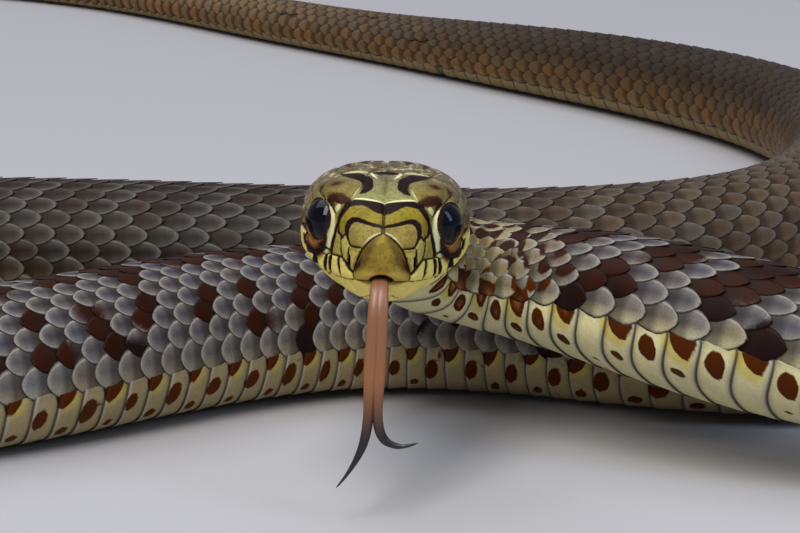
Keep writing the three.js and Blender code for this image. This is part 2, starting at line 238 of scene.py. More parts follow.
def outline(s, radius, angle, inset):
    """Across and rise of the surface, lying an inset inside the body's own."""
    head = through_rows(HEAD, s)
    on_head = s < SKULL_END
    plain = np.c_[radius, radius, radius, 0 * s, 0 * s + 2, 0 * s + 2]
    half, crown, throat, level, upper, lower = np.where(on_head[:, None], head, plain).T
    tip = np.where(on_head, SNOUT_TIP_LEVEL, 0)
    tail = rounding(BODY_LENGTH - s, TAIL_ROUNDING)
    full = np.where(on_head, rounding(s, SNOUT_ROUNDING), tail)
    full_below = np.where(on_head, rounding(s, CHIN_ROUNDING), tail)
    cos, sin = np.cos(angle), np.sin(angle)
    above = cos >= 0
    power = np.where(above, upper, lower)
    reach = np.where(above, crown - level, throat + level)
    inset = np.minimum(inset, 0.5 * radius)
    across = np.abs(sin) / (half - inset)
    rise = np.abs(cos) / (reach - inset)
    distance = (across ** power + rise ** power) ** (-1 / power)
    shrink = full + (full_below - full) * np.maximum(-cos, 0)
    height = tip + (level + distance * cos - tip) * shrink
    flatness = smooth(JAW_ANGLE, SKULL_END, s)
    belly = throat + (BELLY_LEVEL * radius - throat) * flatness - inset
    soft = 0.3 * radius * flatness + 1e-6  # rounds the corner between flank and flat belly
    corner = np.maximum(soft - np.abs(height + belly), 0) ** 2 / (4 * soft)
    height = np.where(s < JAW_ANGLE, height, np.maximum(height, -belly) + corner)
    return distance * sin * shrink, height


def surface(s, angle, inset=0.0):
    """Points on the body at distances s and angles in degrees, with across and rise."""
    s, angle = np.broadcast_arrays(np.asarray(s, float), np.asarray(angle, float))
    angle = np.radians(angle + pattern_twist(s))
    shape = s.shape
    s, angle = s.ravel(), angle.ravel()
    centre, along, side, up, radius = frames_at(s)
    across, rise = outline(s, radius, angle, inset)
    back = inset * np.maximum(0, 1 - s / SNOUT_ROUNDING[0])
    points = centre + across[:, None] * side + rise[:, None] * up + back[:, None] * along
    return points.reshape(*shape, 3), across.reshape(shape), rise.reshape(shape)


def eye_centres():
    """Centres of the right and left eyes."""
    centre, _, side, up, _ = frames_at(np.array((EYE_PLACE[1],)))
    return [(centre + sign * EYE_PLACE[0] * side + EYE_PLACE[2] * up)[0] for sign in (-1, 1)]


def eye_axes():
    """The left eye's axis and the ways ahead and up across it, in (across, s, rise)."""
    forward, up = math.radians(EYE_FORWARD), math.radians(EYE_UP)
    level = np.array((math.cos(forward), -math.sin(forward), 0.0))
    rise = np.array((0.0, 0.0, 1.0))
    ahead = np.array((-math.sin(forward), -math.cos(forward), 0.0))
    axis = level * math.cos(up) + rise * math.sin(up)
    return axis, ahead, rise * math.cos(up) - level * math.sin(up)


def frame_shift():
    """Millimetres from the body line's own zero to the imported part's origin."""
    shifts = []
    for name, own in zip(("eye_right", "eye_left"), eye_centres()):
        low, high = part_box(name)
        shifts.append(np.array((low + high) / 2) * 1000 - own)
    return np.mean(shifts, axis=0)


SHIFT = frame_shift()


def to_metres(points):
    """Points of the body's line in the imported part's frame."""
    return (np.asarray(points, float) + SHIFT) / 1000


# ------------------------------------------------------- plates, rows and marks

PLATE_LAW = 0.55  # how strongly a plate's length follows the body's radius
S_TABLE = np.linspace(0, BODY_LENGTH, 4000)
CLOSE_PLATES = 0.3 * smooth(98, 114, S_TABLE) * (1 - smooth(156, 176, S_TABLE))
RELATIVE_PITCH = (np.maximum(radius_at(S_TABLE), 0.45) / 5) ** PLATE_LAW * (1 - CLOSE_PLATES)
COUNT_TABLE = np.r_[0, np.cumsum(np.diff(S_TABLE) / RELATIVE_PITCH[:-1])]


def plate_scale():
    """Makes the plate count from the first plate to the vent the asked one."""
    first, vent = np.interp((FIRST_PLATE, VENT), S_TABLE, COUNT_TABLE)
    return bpy.context.scene.snake_sizes.belly_plates / (vent - first)


def plate_count(s):
    """Plates from the first one to s, as a running number."""
    first = np.interp(FIRST_PLATE, S_TABLE, COUNT_TABLE)
    return (np.interp(s, S_TABLE, COUNT_TABLE) - first) * plate_scale()


def plate_place(count):
    """The distance s at a running plate number."""
    first = np.interp(FIRST_PLATE, S_TABLE, COUNT_TABLE)
    return np.interp(np.asarray(count, float) / plate_scale() + first, COUNT_TABLE, S_TABLE)


def plate_pitch(s):
    """Length of one belly plate at distances s."""
    return np.interp(s, S_TABLE, RELATIVE_PITCH) / plate_scale()


def linear(*rgb):
    """An 8-bit display colour as linear light."""
    c = np.array(rgb, float) / 255
    return np.where(c < 0.04045, c / 12.92, ((c + 0.055) / 1.055) ** 2.4)


# Repeated marks: plates between them, s of one of them, angle from the back, half
# length, half height, lean, share that shows, first and last s, pigment.
BODY_MARKS = (
    (3.0, 31.8, 0, 1.95, 6.1, 0.28, 1.0, 26, 999, "chestnut"),
    (3.4, 34.5, 82, 1.3, 1.05, 0.35, 1.0, 29, 102, "chestnut"),
    (3.0, 35.0, 91, 0.8, 0.6, 0, 0.9, 33, 102, "dark"),
    (3.0, 32.2, 98, 0.95, 0.8, 0, 0.95, 27, 102, "dark"),
    (2.6, 112.0, 60, 0.95, 0.85, 0.2, 0.8, 60, 999, "chestnut"),
    (2.5, 113.4, 73, 0.95, 0.8, 0.2, 0.75, 96, 999, "chestnut"),
    (2.6, 111.4, 86, 1.0, 0.85, 0.2, 0.85, 100, 999, "chestnut"),
    (3.1, 112.6, 98, 0.9, 0.8, 0, 0.85, 100, 999, "dark"),
    (1.1, 17.0, 8, 0.52, 0.95, 0.2, 0.95, 0, 28, "chestnut"),
    (0.95, 16.6, 30, 0.4, 0.74, 0.3, 1.0, 0, 31, "chestnut"),
    (0.95, 17.4, 48, 0.39, 0.72, 0.3, 1.0, 0, 32, "chestnut"),
    (0.92, 16.8, 65, 0.38, 0.68, 0.3, 1.0, 22, 33, "chestnut"),
    (0.92, 17.6, 82, 0.38, 0.68, 0.3, 1.0, 23, 33, "chestnut"),
    (0.9, 16.8, 99, 0.36, 0.72, 0.2, 1.0, 0, 31, "rust"),
)
# Marks on the belly plates: plates between them, place in the plate, angle, half
# length, half height, lean, share that shows.
PLATE_MARKS = (
    (2, 0.62, 116.5, 0.85, 1.15, -0.55, 1.0),
    (2, 1.68, 131.5, 0.64, 1.05, -0.3, 0.95),
    (2, 0.68, 147.0, 0.5, 0.6, -0.3, 0.85),
    (2, 1.70, 168.0, 0.3, 0.3, 0.0, 0.3),
)
PLATE_SWEEP = -0.35  # how far a belly plate's middle trails its ends, in plates
# Pigments in the order in which they lie over one another, and half the width over
# which the edge of each one fades.
PIGMENT_EDGES = {"shade": 0.2, "pale": 0.035, "yellow": 0.3, "maroon": 0.06,
                 "chestnut": 0.05, "rust": 0.045, "amber": 0.1, "dark": 0.035}
NO_MARK = -1.0
JITTER_SEED = 11
CHANCE_SEED = 12
DRAWS = 251
FULL_SIZE_PLACE = 38.0  # s at which marks have the sizes in the tables
UNDER_COAT_SHADE = 0.55  # how light the skin is under the scales, beside their own colour: painted shade in the gaps between scales


def plate_sweep(angle):
    """How far the belly plates' edges trail at an angle, in plates."""
    share = np.clip((180 - np.abs(angle)) / (180 - VENTRAL_EDGE), 0, 1)
    return PLATE_SWEEP * (1 - share ** 2)


def body_marks(s, angle):
    """How deep in each pigment places on the body lie, in millimetres."""
    jitter = np.random.default_rng(JITTER_SEED).uniform(-1, 1, (4, DRAWS))
    chance = np.random.default_rng(CHANCE_SEED).uniform(0, 1, DRAWS)
    around = np.abs(angle)
    left = (angle > 0).astype(int)
    radius = np.interp(s, S_TABLE, radius_at(S_TABLE))
    count, pitch = plate_count(s), plate_pitch(s)
    size = 0.25 + 0.75 * pitch / plate_pitch(FULL_SIZE_PLACE)
    dwindling = smooth(50, 110, s)
    depth = {name: np.full(np.shape(s), NO_MARK) for name in PIGMENT_EDGES}
    depth["mottle"] = np.zeros(np.shape(s))
    for number, mark in enumerate(BODY_MARKS):
        period, at, level, half, tall, lean, shown, first, last, pigment = mark
        on_back = level == 0
        turns = (count - plate_count(at)) / period
        index = np.round(turns).astype(int)
        pick = (index * 7 + number * 31 + left * 97 * (not on_back)) % DRAWS
        loose = min(0.34, 0.4 * half)
        along = (turns - index) * period * pitch + loose * jitter[0][pick]
        upward = (around - level) * np.pi / 180 * radius + loose * jitter[1][pick]
        length = half * size * (1 + 0.22 * jitter[2][pick])
        height = tall * size * (1 + 0.2 * jitter[3][pick])
        if on_back:
            height = height * (1 - 0.35 * dwindling)
        power = 3.5 if on_back else 2.0
        across = np.abs(upward / height) ** power
        ring = (np.abs((along + lean * upward) / length) ** power + across) ** (1 / power)
        inside = (1 - ring) * np.minimum(length, height)
        placed = (chance[pick] < shown) & (s > first) & (s < last)
        depth[pigment] = np.maximum(depth[pigment], np.where(placed, inside, NO_MARK))
    swept = count - plate_sweep(around)
    for number, (period, at, level, half, tall, lean, shown) in enumerate(PLATE_MARKS):
        turns = (swept - at) / period
        index = np.round(turns).astype(int)
        pick = (index * 11 + number * 43 + left * 97) % DRAWS
        along = (turns - index) * period * pitch + 0.08 * jitter[0][pick]
        down = (around - level) * np.pi / 180 * radius + 0.12 * jitter[1][pick]
        length = half * size * (1 + 0.15 * jitter[2][pick])
        height = tall * size * (1 + 0.2 * jitter[3][pick])
        ring = np.hypot((along + lean * down) / length, down / height)
        inside = (1 - ring) * np.minimum(length, height)
        hind = (1 - (swept - np.floor(swept))) * pitch - 0.1
        inside = np.minimum(inside, hind)  # a plate's mark stops at its hind edge
        placed = (chance[pick] < shown) & (around > VENTRAL_EDGE - 9)
        inside = np.where(placed, inside, NO_MARK)
        depth["rust"] = np.maximum(depth["rust"], inside)
        # The throat's spots get lighter orange centres: their own orange, brightened as painted
        # light where the throat lies in shade under the head.
        warm = 0.3 * inside * (1 - smooth(24, 42, s)) - 0.15
        depth["amber"] = np.maximum(depth["amber"], warm)
        if number == 0:  # only the uppermost marks have yellow beside them
            low = down - 0.4
            fleck = 1 - np.hypot((along + 0.35 + lean * low) / length, low / height)
            fleck = fleck * np.minimum(length, height) + 0.1 - 0.3 * dwindling
            depth["yellow"] = np.maximum(depth["yellow"], fleck)
    return {name: np.clip(value, NO_MARK, 1.0) for name, value in depth.items()}


def body_strength(s):
    """How strongly the marks show along the body."""
    return 1 - 0.6 * smooth(165, 215, s) - 0.4 * smooth(240, 320, s)


def chosen_colour(name):
    """One of the snake's colours as a linear array."""
    return np.array(getattr(bpy.context.scene.snake_colours, name)[:])


def toward(first, second, share):
    """A blend: the first at a share of 0, the second at 1."""
    return first + (second - first) * share


def body_tint(s, angle):
    """The ground colour, linear, under the marks, with painted shade on the belly from s 60 on
    and on the plain rear's back.
    """
    around = np.abs(angle)[..., None]
    s = np.asarray(s, float)[..., None]
    rear = smooth(150, 230, s)
    tail = 0.4 * smooth(242, 275, s) - 0.3 * smooth(290, 330, s) + 0.9 * smooth(350, 425, s)
    neck = chosen_colour("neck")
    back = toward(chosen_colour("back") + 0 * s, neck, 1 - smooth(20, 35, s))
    # The plain rear back is its own darker brown, deepened further as painted shade.
    back = toward(back, chosen_colour("rear_back"), rear)
    back = toward(back, chosen_colour("tail_back"), tail)
    flank = toward(chosen_colour("flank"), neck, 1 - smooth(18, 33, s))
    flank = toward(flank, chosen_colour("rear_flank"), rear)
    # The belly takes the rear colour behind; from s 60 on it is also darkened towards it as
    # painted shade of the underside.
    rear_tone_and_shade = np.maximum(rear, 0.75 * smooth(60, 100, s))
    belly = toward(chosen_colour("belly"), chosen_colour("rear_belly"), rear_tone_and_shade)
    belly = belly * (1 + 0.2 * (1 - smooth(30, 60, s)))
    tint = toward(back, flank, smooth(78 - 24 * smooth(240, 330, s), 112, around))
    return toward(tint, belly, smooth(VENTRAL_EDGE - 11, VENTRAL_EDGE + 9, around))


# ------------------------------------------------------------- the head's plates

# The face view: where it is seen from, on the body line's own zero, its tilt below the
# level, and its plane's distance and middle.
FACE_VIEWPOINT = (0.0, -194.0, 62.0)
FACE_DOWN = math.radians(14)
FACE_DISTANCE = 200.0
FACE_CENTRE = (-0.941, 2.382)
# Marks and seams of the head, on one side and mirrored to the other, by the view they
# are given in and their kinds: strokes of points with a half width. "face" points lie
# on a plane square to the line of sight from the front, "top" points are (s, across),
# "side" (s, rise), "front" (across, rise) and "under" (s, across).
HEAD_MARKS = {
    ("face", "dark"): (
        ((-2.12, 1.26, 0.185), (-1.68, 1.35, 0.185), (-1.25, 1.35, 0.15), (-0.89, 1.25, 0.207),
         (-0.54, 1.12, 0.285), (-0.29, 1.03, 0.328), (-0.04, 0.98, 0.299)),
        ((-2.18, -0.38, 0.064), (-2.32, -0.51, 0.057), (-2.45, -0.68, 0.064),
         (-2.57, -0.84, 0.043)),
        ((-2.06, -1.23, 0.036), (-2.06, -1.66, 0.071), (-2.08, -1.95, 0.107),
         (-2.09, -2.23, 0.1), (-2.02, -2.55, 0.071)),
        ((-3.66, -1.28, 0.043), (-3.62, -1.53, 0.036), (-3.45, -1.68, 0.029),
         (-3.23, -1.6, 0.036)),
        ((-4.7, -0.38, 0.036), (-4.57, -0.96, 0.1), (-4.3, -1.39, 0.157), (-3.95, -1.53, 0.143),
         (-3.66, -1.36, 0.093), (-3.39, -1.28, 0.043)),
        ((-2.48, 3, 0.05), (-2.18, 2.96, 0.114), (-1.82, 2.91, 0.171), (-1.43, 2.86, 0.228),
         (-1.11, 2.74, 0.271), (-0.94, 2.55, 0.314), (-0.93, 2.33, 0.314), (-1.12, 2.09, 0.2),
         (-1.41, 1.88, 0.043)),
        ((-0.61, 3.12, 0.029), (-0.36, 3.06, 0.086), (0.03, 3.07, 0.107)),
    ),
    ("face", "maroon"): (
        ((-1.22, -1.75, 0.0), (-1.36, -1.98, 0.05), (-1.5, -2.25, 0.1), (-1.64, -2.5, 0.07),
         (-1.74, -2.75, 0.0)),
        ((-3.23, 1.55, 0.128), (-3.07, 1.63, 0.242), (-2.82, 1.68, 0.299), (-2.5, 1.59, 0.314),
         (-2.19, 1.48, 0.214), (-1.95, 1.49, 0.071)),
        ((-3.14, 1.44, 0.086), (-3, 1.25, 0.071), (-2.88, 1.12, 0.036)),
        ((-3.1, 2.39, 0.03), (-2.86, 2.45, 0.105), (-2.55, 2.52, 0.04)),
        ((-3.82, 2.02, 0.02), (-3.68, 2.2, 0.085), (-3.48, 2.4, 0.03)),
    ),
    ("face", "yellow"): (
        # The yellow along the rostral's lower edge is its own colour, brightened as painted light
        # against the shade under the snout.
        ((-1.55, -3.0, 0.1), (-1.1, -2.85, 0.22), (-0.72, -2.75, 0.1)),
    ),
    ("face", "dark seam"): (
        ((-2.12, 1.23, 0.185), (-2.32, 0.98, 0.171), (-2.5, 0.69, 0.128), (-2.64, 0.44, 0.1),
         (-2.71, 0.05, 0.078), (-2.68, -0.38, 0.071), (-2.45, -0.66, 0.064)),
        ((-0.07, -0.05, 0.086), (-0.54, 0.05, 0.107), (-0.89, 0.14, 0.107),
         (-1.25, 0.26, 0.128), (-1.54, 0.36, 0.143), (-1.82, 0.34, 0.171), (-2.04, 0.16, 0.171),
         (-2.16, -0.16, 0.143), (-2.18, -0.52, 0.1), (-2.11, -0.88, 0.064), (-2, -1.18, 0.05)),
        ((-0.06, 0.73, 0.01), (-0.07, 0.34, 0.01), (-0.07, -0.04, 0.02)),
        ((-0.13, -0.43, 0.021), (-0.54, -0.63, 0.036), (-0.97, -1, 0.05), (-1.32, -1.39, 0.064),
         (-1.54, -1.88, 0.071), (-1.71, -2.37, 0.064), (-1.84, -2.72, 0.036),
         (-1.81, -2.94, 0.021), (-1.75, -3.17, 0.014)),
        ((-2.02, -1.16, 0.05), (-1.75, -1.23, 0.064), (-1.41, -1.28, 0.05)),
        ((-2.46, -1.86, 0.064), (-2.25, -2.16, 0.078), (-2.04, -2.5, 0.086),
         (-1.86, -2.73, 0.057)),
        ((-2.55, -0.52, 0.043), (-2.59, -0.95, 0.036), (-2.55, -1.45, 0.043),
         (-2.46, -1.85, 0.05)),
        ((-3.46, -1.7, 0.029), (-3.25, -1.6, 0.05), (-2.96, -1.7, 0.05), (-2.68, -1.77, 0.057),
         (-2.45, -1.86, 0.057)),
        ((-2.66, -1.83, 0.071), (-2.68, -2.16, 0.078), (-2.62, -2.55, 0.064),
         (-2.5, -2.96, 0.029)),
        ((-3.13, -1.8, 0.107), (-3.19, -2.16, 0.1), (-3.14, -2.52, 0.071),
         (-3.01, -2.9, 0.029)),
        ((-3.39, -1.72, 0.093), (-3.45, -2.12, 0.107), (-3.39, -2.52, 0.078),
         (-3.22, -2.92, 0.029)),
        ((-4.07, -1.59, 0.086), (-4, -1.95, 0.143), (-3.89, -2.3, 0.121), (-3.7, -2.75, 0.036)),
        ((-4.46, -1.48, 0.043), (-4.37, -1.91, 0.064), (-4.19, -2.34, 0.036)),
        ((-2.31, 1.13, 0.043), (-2.48, 0.75, 0.064), (-2.68, 0.35, 0.064),
         (-2.81, -0.01, 0.078), (-2.88, -0.45, 0.093), (-2.98, -0.84, 0.107),
         (-3.06, -1.23, 0.107), (-3.12, -1.59, 0.064)),
        ((-3.38, 1.55, 0.043), (-3.18, 1.33, 0.057), (-3, 1.05, 0.05), (-2.86, 0.75, 0.036)),
        ((-3.66, -1.08, 0.02), (-3.52, -1.2, 0.045), (-3.36, -1.33, 0.05), (-3.2, -1.4, 0.06),
         (-3.08, -1.5, 0.08)),
        ((-3.83, 2.12, 0.036), (-3.66, 1.87, 0.036), (-3.46, 1.58, 0.043)),
    ),
    ("face", "seam"): (
        ((-0.1, -0.05, 0), (-0.13, -0.41, 0)),
        ((-1.93, 1.55, 0), (-2.39, 1.96, 0), (-3.03, 2.01, 0), (-3.39, 1.73, 0)),
    ),
    ("face", "shade"): (
        ((-0.29, -0.63, 0.1), (-0.61, -0.88, 0.185), (-0.89, -1.23, 0.271),
         (-1.12, -1.63, 0.342), (-1.27, -1.98, 0.371), (-1.48, -2.3, 0.257),
         (-1.66, -2.6, 0.086)),
        ((-1.93, -1.36, 0.071), (-1.54, -1.39, 0.071)),
        ((0.12, 2.8, 0.086), (0.1, 2.33, 0.107), (0.07, 1.98, 0.093), (0.1, 1.7, 0.043)),
        ((-3.28, 2.33, 0.1), (-2.96, 2.43, 0.214), (-2.57, 2.5, 0.171), (-2.29, 2.6, 0.057)),
        ((-2.46, 3.12, 0.114), (-1.96, 3.2, 0.1), (-1.54, 3.24, 0.071)),
        ((-3.71, 2.19, 0.128), (-3.5, 2.44, 0.128), (-3.25, 2.65, 0.071)),
    ),
    ("face", "pale"): (
        ((-3.15, 1.12, 0.057), (-3.03, 0.48, 0.185), (-3.12, -0.16, 0.235),
         (-3.23, -0.73, 0.26), (-3.27, -1.08, 0.24)),
        ((-2.64, 1.18, 0.114), (-2.76, 0.99, 0.143), (-2.85, 0.82, 0.05)),
        ((-3.57, -1.36, 0.07), (-3.46, -1.46, 0.12), (-3.36, -1.52, 0.08)),
        ((-1.81, 1.6, 0.035), (-1.39, 1.57, 0.054), (-0.97, 1.51, 0.06), (-0.54, 1.45, 0.054),
         (-0.25, 1.38, 0.04), (-0.02, 1.31, 0.02)),
        ((-0.77, 3.07, 0.045), (-0.61, 2.94, 0.065), (-0.38, 2.75, 0.02)),
        ((-0.22, -0.39, 0.03), (-0.54, -0.52, 0.045), (-0.89, -0.75, 0.04),
         (-1.25, -1.14, 0.02)),
    ),
    ("face", "pale seam"): (
        ((-2.39, 3.12, 0.02), (-1.96, 3.16, 0.042), (-1.54, 3.19, 0.048), (-1.11, 3.17, 0.046),
         (-0.86, 3.14, 0.025)),
        ((-1.88, 1.59, 0.043), (-1.72, 1.83, 0.057), (-1.54, 2.08, 0.057),
         (-1.41, 2.25, 0.036)),
    ),
    ("front", "seam"): (
        ((0, 1.4, 0), (0, 1.62, 0)),
    ),
    ("top", "seam"): (
        ((1.0, 0, 0), (1.7, 0, 0), (2.85, 0, 0)),
        ((4.6, 1.42, 0), (5.4, 1.3, 0), (6.9, 1.1, 0), (7.5, 0.6, 0), (8.1, 0, 0)),
        ((6.9, 1.1, 0), (6.95, 1.8, 0), (6.95, 2.6, 0), (6.7, 3.3, 0)),
        ((8.1, 0, 0), (10, 0, 0), (11.7, 0, 0)),
        ((6.95, 2.6, 0), (8.5, 3.1, 0), (10.1, 2.7, 0), (11.3, 1.8, 0), (11.9, 0.6, 0),
         (11.7, 0, 0)),
    ),
    ("side", "seam"): (
        ((6.35, 1.3, 0), (7.1, 1.5, 0), (7.3, 0.7, 0), (7.2, -0.1, 0), (7.0, -1.0, 0)),
        ((6.35, 0.25, 0), (7.25, 0.25, 0)),
        ((7.25, 0.3, 0), (8.9, 0.25, 0), (10.7, 0.3, 0)),
        ((8.9, 1.75, 0), (9.2, 1.0, 0), (8.9, 0.25, 0), (9.1, -0.4, 0), (8.9, -1.0, 0)),
        ((10.7, 1.6, 0), (10.9, 0.9, 0), (10.7, 0.3, 0), (10.9, -0.4, 0), (10.7, -1.1, 0)),
        ((5.3, -1.15, 0), (6.2, -0.95, 0), (7.0, -1.0, 0), (8.9, -1.0, 0), (10.7, -1.1, 0),
         (11.6, -1.5, 0)),
        ((1.5, -1.95, 0), (1.3, -2.4, 0)),
        ((2.6, -2.3, 0), (2.4, -3.05, 0)),
        ((3.9, -2.6, 0), (3.8, -3.3, 0)),
        ((5.5, -2.75, 0), (5.4, -3.45, 0)),
        ((7.3, -2.7, 0), (7.3, -3.45, 0)),
        ((9.2, -2.5, 0), (9.3, -3.3, 0)),
    ),
    ("side", "dark seam"): (
        ((6.6, -1.0, 0.14), (6.75, -1.6, 0.12), (6.9, -2.5, 0.04)),
        ((8.6, -1.0, 0.12), (8.65, -1.6, 0.1), (8.7, -2.4, 0.04)),
        ((10.4, -1.1, 0.1), (10.5, -2.1, 0.04)),
    ),
    ("under", "seam"): (
        ((1.0, 0.6, 0), (1.5, 0.9, 0), (3.8, 1.5, 0), (6.5, 1.9, 0), (9.0, 2.4, 0)),
        ((0.9, 0, 0), (3.8, 0, 0), (6.6, 0, 0), (9.0, 0, 0)),
        ((3.9, 0, 0), (4.0, 0.7, 0), (3.8, 1.5, 0)),
        ((6.6, 0, 0), (6.8, 0.9, 0), (6.5, 1.9, 0)),
    ),
    ("top", "shade"): (
        ((8.3, 0.5, 0.3), (9.0, 0.55, 0.35), (9.6, 0.3, 0.2)),
        ((10.4, 1.9, 0.25), (11.2, 1.3, 0.3)),
    ),
    ("top", "maroon"): (
        ((8.5, 1.2, 0.1), (9.1, 1.35, 0.24), (9.8, 1.15, 0.2), (10.3, 0.8, 0.06)),
        ((8.1, 2.2, 0.08), (8.9, 2.35, 0.2), (9.7, 2.1, 0.16), (10.4, 1.7, 0.05)),
        ((10.6, 0.45, 0.05), (11.2, 0.5, 0.2), (11.9, 0.35, 0.08)),
    ),
    ("top", "pale"): (
        ((9.3, 0.02, 0.03), (9.8, 0.1, 0.08), (10.3, 0.02, 0.03)),
        ((8.6, 0.95, 0.0), (9.4, 0.85, 0.035), (10.2, 0.55, 0.0)),
        ((8.0, 1.75, 0.0), (9.1, 1.85, 0.035), (10.2, 1.5, 0.0)),
    ),
    ("side", "shade"): (
        ((7.7, 1.2, 0.2), (9.2, 1.1, 0.3), (10.4, 0.9, 0.2)),
        ((6.6, 0.2, 0.2), (7.8, -0.3, 0.4), (8.6, -0.5, 0.4)),
    ),
    ("side", "maroon"): (
        ((9.7, -0.3, 0.3), (10.6, -0.5, 0.35)),
    ),
    ("side", "dark"): (
        ((6.5, -0.9, 0.1), (7.2, -0.75, 0.16), (7.9, -0.8, 0.06)),
    ),
}

# Plates seen face on: the colour that each has and its outline.
HEAD_ZONES = (
    ("snout", [
        (-0.13, -0.43), (-0.54, -0.63), (-0.97, -1), (-1.32, -1.39), (-1.54, -1.88),
        (-1.71, -2.37), (-1.84, -2.72), (-1.75, -3.17), (-0.97, -3.44), (0.89, -3.44),
        (0.89, -0.43)
    ]),
    ("internasal", [
        (-0.07, -0.05), (-0.54, 0.05), (-0.89, 0.14), (-1.25, 0.26), (-1.54, 0.36),
        (-1.82, 0.34), (-2.04, 0.16), (-2.16, -0.16), (-2.18, -0.52), (-2.11, -0.88),
        (-2, -1.18), (-1.41, -1.28), (-0.97, -1), (-0.54, -0.63), (-0.13, -0.43), (0.89, -0.43),
        (0.89, -0.05)
    ]),
    ("head_plate", [
        (-2.12, 1.23), (-1.39, 1.5), (-0.54, 1.38), (0.89, 1.24), (0.89, -0.05), (-0.07, -0.05),
        (-0.89, 0.14), (-1.54, 0.36), (-2.04, 0.16), (-2.18, -0.38), (-2.45, -0.66),
        (-2.68, -0.38), (-2.71, 0.05), (-2.64, 0.44), (-2.32, 0.98)
    ]),
    ("frontal", [
        (-1.93, 1.55), (-1.39, 1.5), (-0.54, 1.38), (0.89, 1.26), (0.89, 3.14), (-0.86, 3.14),
        (-0.97, 2.83), (-1.25, 2.4), (-1.41, 2.25), (-1.72, 1.83)
    ]),
    ("lip", [
        (-5.1, -1.23), (-4.46, -1.48), (-4.07, -1.59), (-3.46, -1.7), (-3.25, -1.6),
        (-2.45, -1.86), (-1.86, -2.73), (-1.75, -3.17), (-1.75, -5.51), (-5.1, -5.51)
    ]),
    ("nasal", [
        (-2, -1.18), (-1.41, -1.28), (-1.54, -1.88), (-1.71, -2.37), (-1.86, -2.73),
        (-2.46, -1.86), (-2.55, -1.45), (-2.55, -0.52), (-2.18, -0.38)
    ]),
)
NOSTRIL = ((-2.06, -1.75, 0.07), (-2.08, -2.2, 0.09))  # face view, half width
NOTCH_HALF = 0.76  # half width of the notch that the tongue comes out of
NOTCH_TALL = 0.54
NOTCH_LEVEL = -1.45
NOTCH_END = 2.2
HEAD_COLUMNS = 320
BODY_COLUMNS = 40
COLUMN_STEP = HEAD_COLUMNS // BODY_COLUMNS
HEAD_GRAIN = 0.071  # between the head skin's rings
BODY_GRAIN = 1.4
SKIN_SPLIT = 16.0  # the head's fine rings end here
TAIL_RINGS = (1.2, 0.5, 0.1)  # how far the last rings lie before the tail's tip
PLATE_INSET = 0.05  # how far the head's plates lie inside the CAD's surface
STROKE_STEP = 0.045
FAR_OFF = -9.0  # the depth of a place that no stroke comes near
HIDDEN_LOSS = 3.0  # what a face mark loses where the face view doesn't reach
CAST_FROM = 20.0
DISTANCE_BLOCK = 4000
TINY = 1e-6


def ring_faces(first, rows, columns):
    """Quads between the closed rings of a grid whose points start at first."""
    faces = []
    for i in range(rows - 1):
        for j in range(columns):
            a = first + i * columns + j
            b = first + i * columns + (j + 1) % columns
            faces.append((a, b, b + columns, a + columns))
    return faces


def head_rings():
    """Distances s of the head skin's rings, evenly spaced over the snout too."""
    fine = np.r_[np.geomspace(1e-4, 0.5, 300), np.linspace(0.51, SKIN_SPLIT, 2400)]
    _, across, _ = surface(fine, 90.0)
    run = np.r_[0, np.cumsum(np.hypot(np.diff(fine), np.diff(across)))]
    rings = np.interp(np.arange(0, run[-1], HEAD_GRAIN), run, fine)
    rings[-1] = SKIN_SPLIT
    return rings


def caster(local):
    """Finds points on the head from the plain views, in (across, s, rise)."""
    faces = ring_faces(0, len(local) // HEAD_COLUMNS, HEAD_COLUMNS)
    tree = BVHTree.FromPolygons([Vector(p) for p in local], faces)
    views = {
        "top": lambda s, x: ((x, s, CAST_FROM), (0, 0, -1)),
        "side": lambda s, z: ((CAST_FROM, s, z), (-1, 0, 0)),
        "front": lambda x, z: ((x, -CAST_FROM, z), (0, 1, 0)),
        "under": lambda s, x: ((x, s, -CAST_FROM), (0, 0, 1)),
    }

    def cast(view, first, second):
        origin, direction = views[view](first, second)
        hit = tree.ray_cast(Vector(origin), Vector(direction))[0]
        return None if hit is None else np.array(hit)

    return cast


def trace(cast, view, points):
    """Samples a stroke over the head: points in (across, s, rise) and half widths."""
    points = np.array(points, float)
    run = np.r_[0, np.cumsum(np.linalg.norm(np.diff(points[:, :2], axis=0), axis=1))]
    places = np.linspace(0, run[-1], max(2, int(run[-1] / STROKE_STEP)))
    dense = np.stack([np.interp(places, run, points[:, k]) for k in range(3)], axis=1)
    found = [(cast(view, a, b), width) for a, b, width in dense]
    return [(place, width) for place, width in found if place is not None]


def depth_in(samples, local):
    """Largest (half width - distance) over a stroke's samples, for each point."""
    places = np.array([p for p, _ in samples])
    widths = np.array([w for _, w in samples])
    best = np.full(len(local), FAR_OFF)
    for start in range(0, len(local), DISTANCE_BLOCK):
        part = local[start:start + DISTANCE_BLOCK]
        gaps = np.sqrt(((part[:, None] - places[None]) ** 2).sum(2))
        best[start:start + DISTANCE_BLOCK] = (widths - gaps).max(1)
    return best


def facing(points):
    """Where points are seen on the face view's plane."""
    ahead = np.array((0, math.cos(FACE_DOWN), -math.sin(FACE_DOWN)))
    above = np.array((0, math.sin(FACE_DOWN), math.cos(FACE_DOWN)))
    offset = points - np.array(FACE_VIEWPOINT)
    scale = FACE_DISTANCE / (offset @ ahead)
    return offset[:, 0] * scale - FACE_CENTRE[0], (offset @ above) * scale - FACE_CENTRE[1]


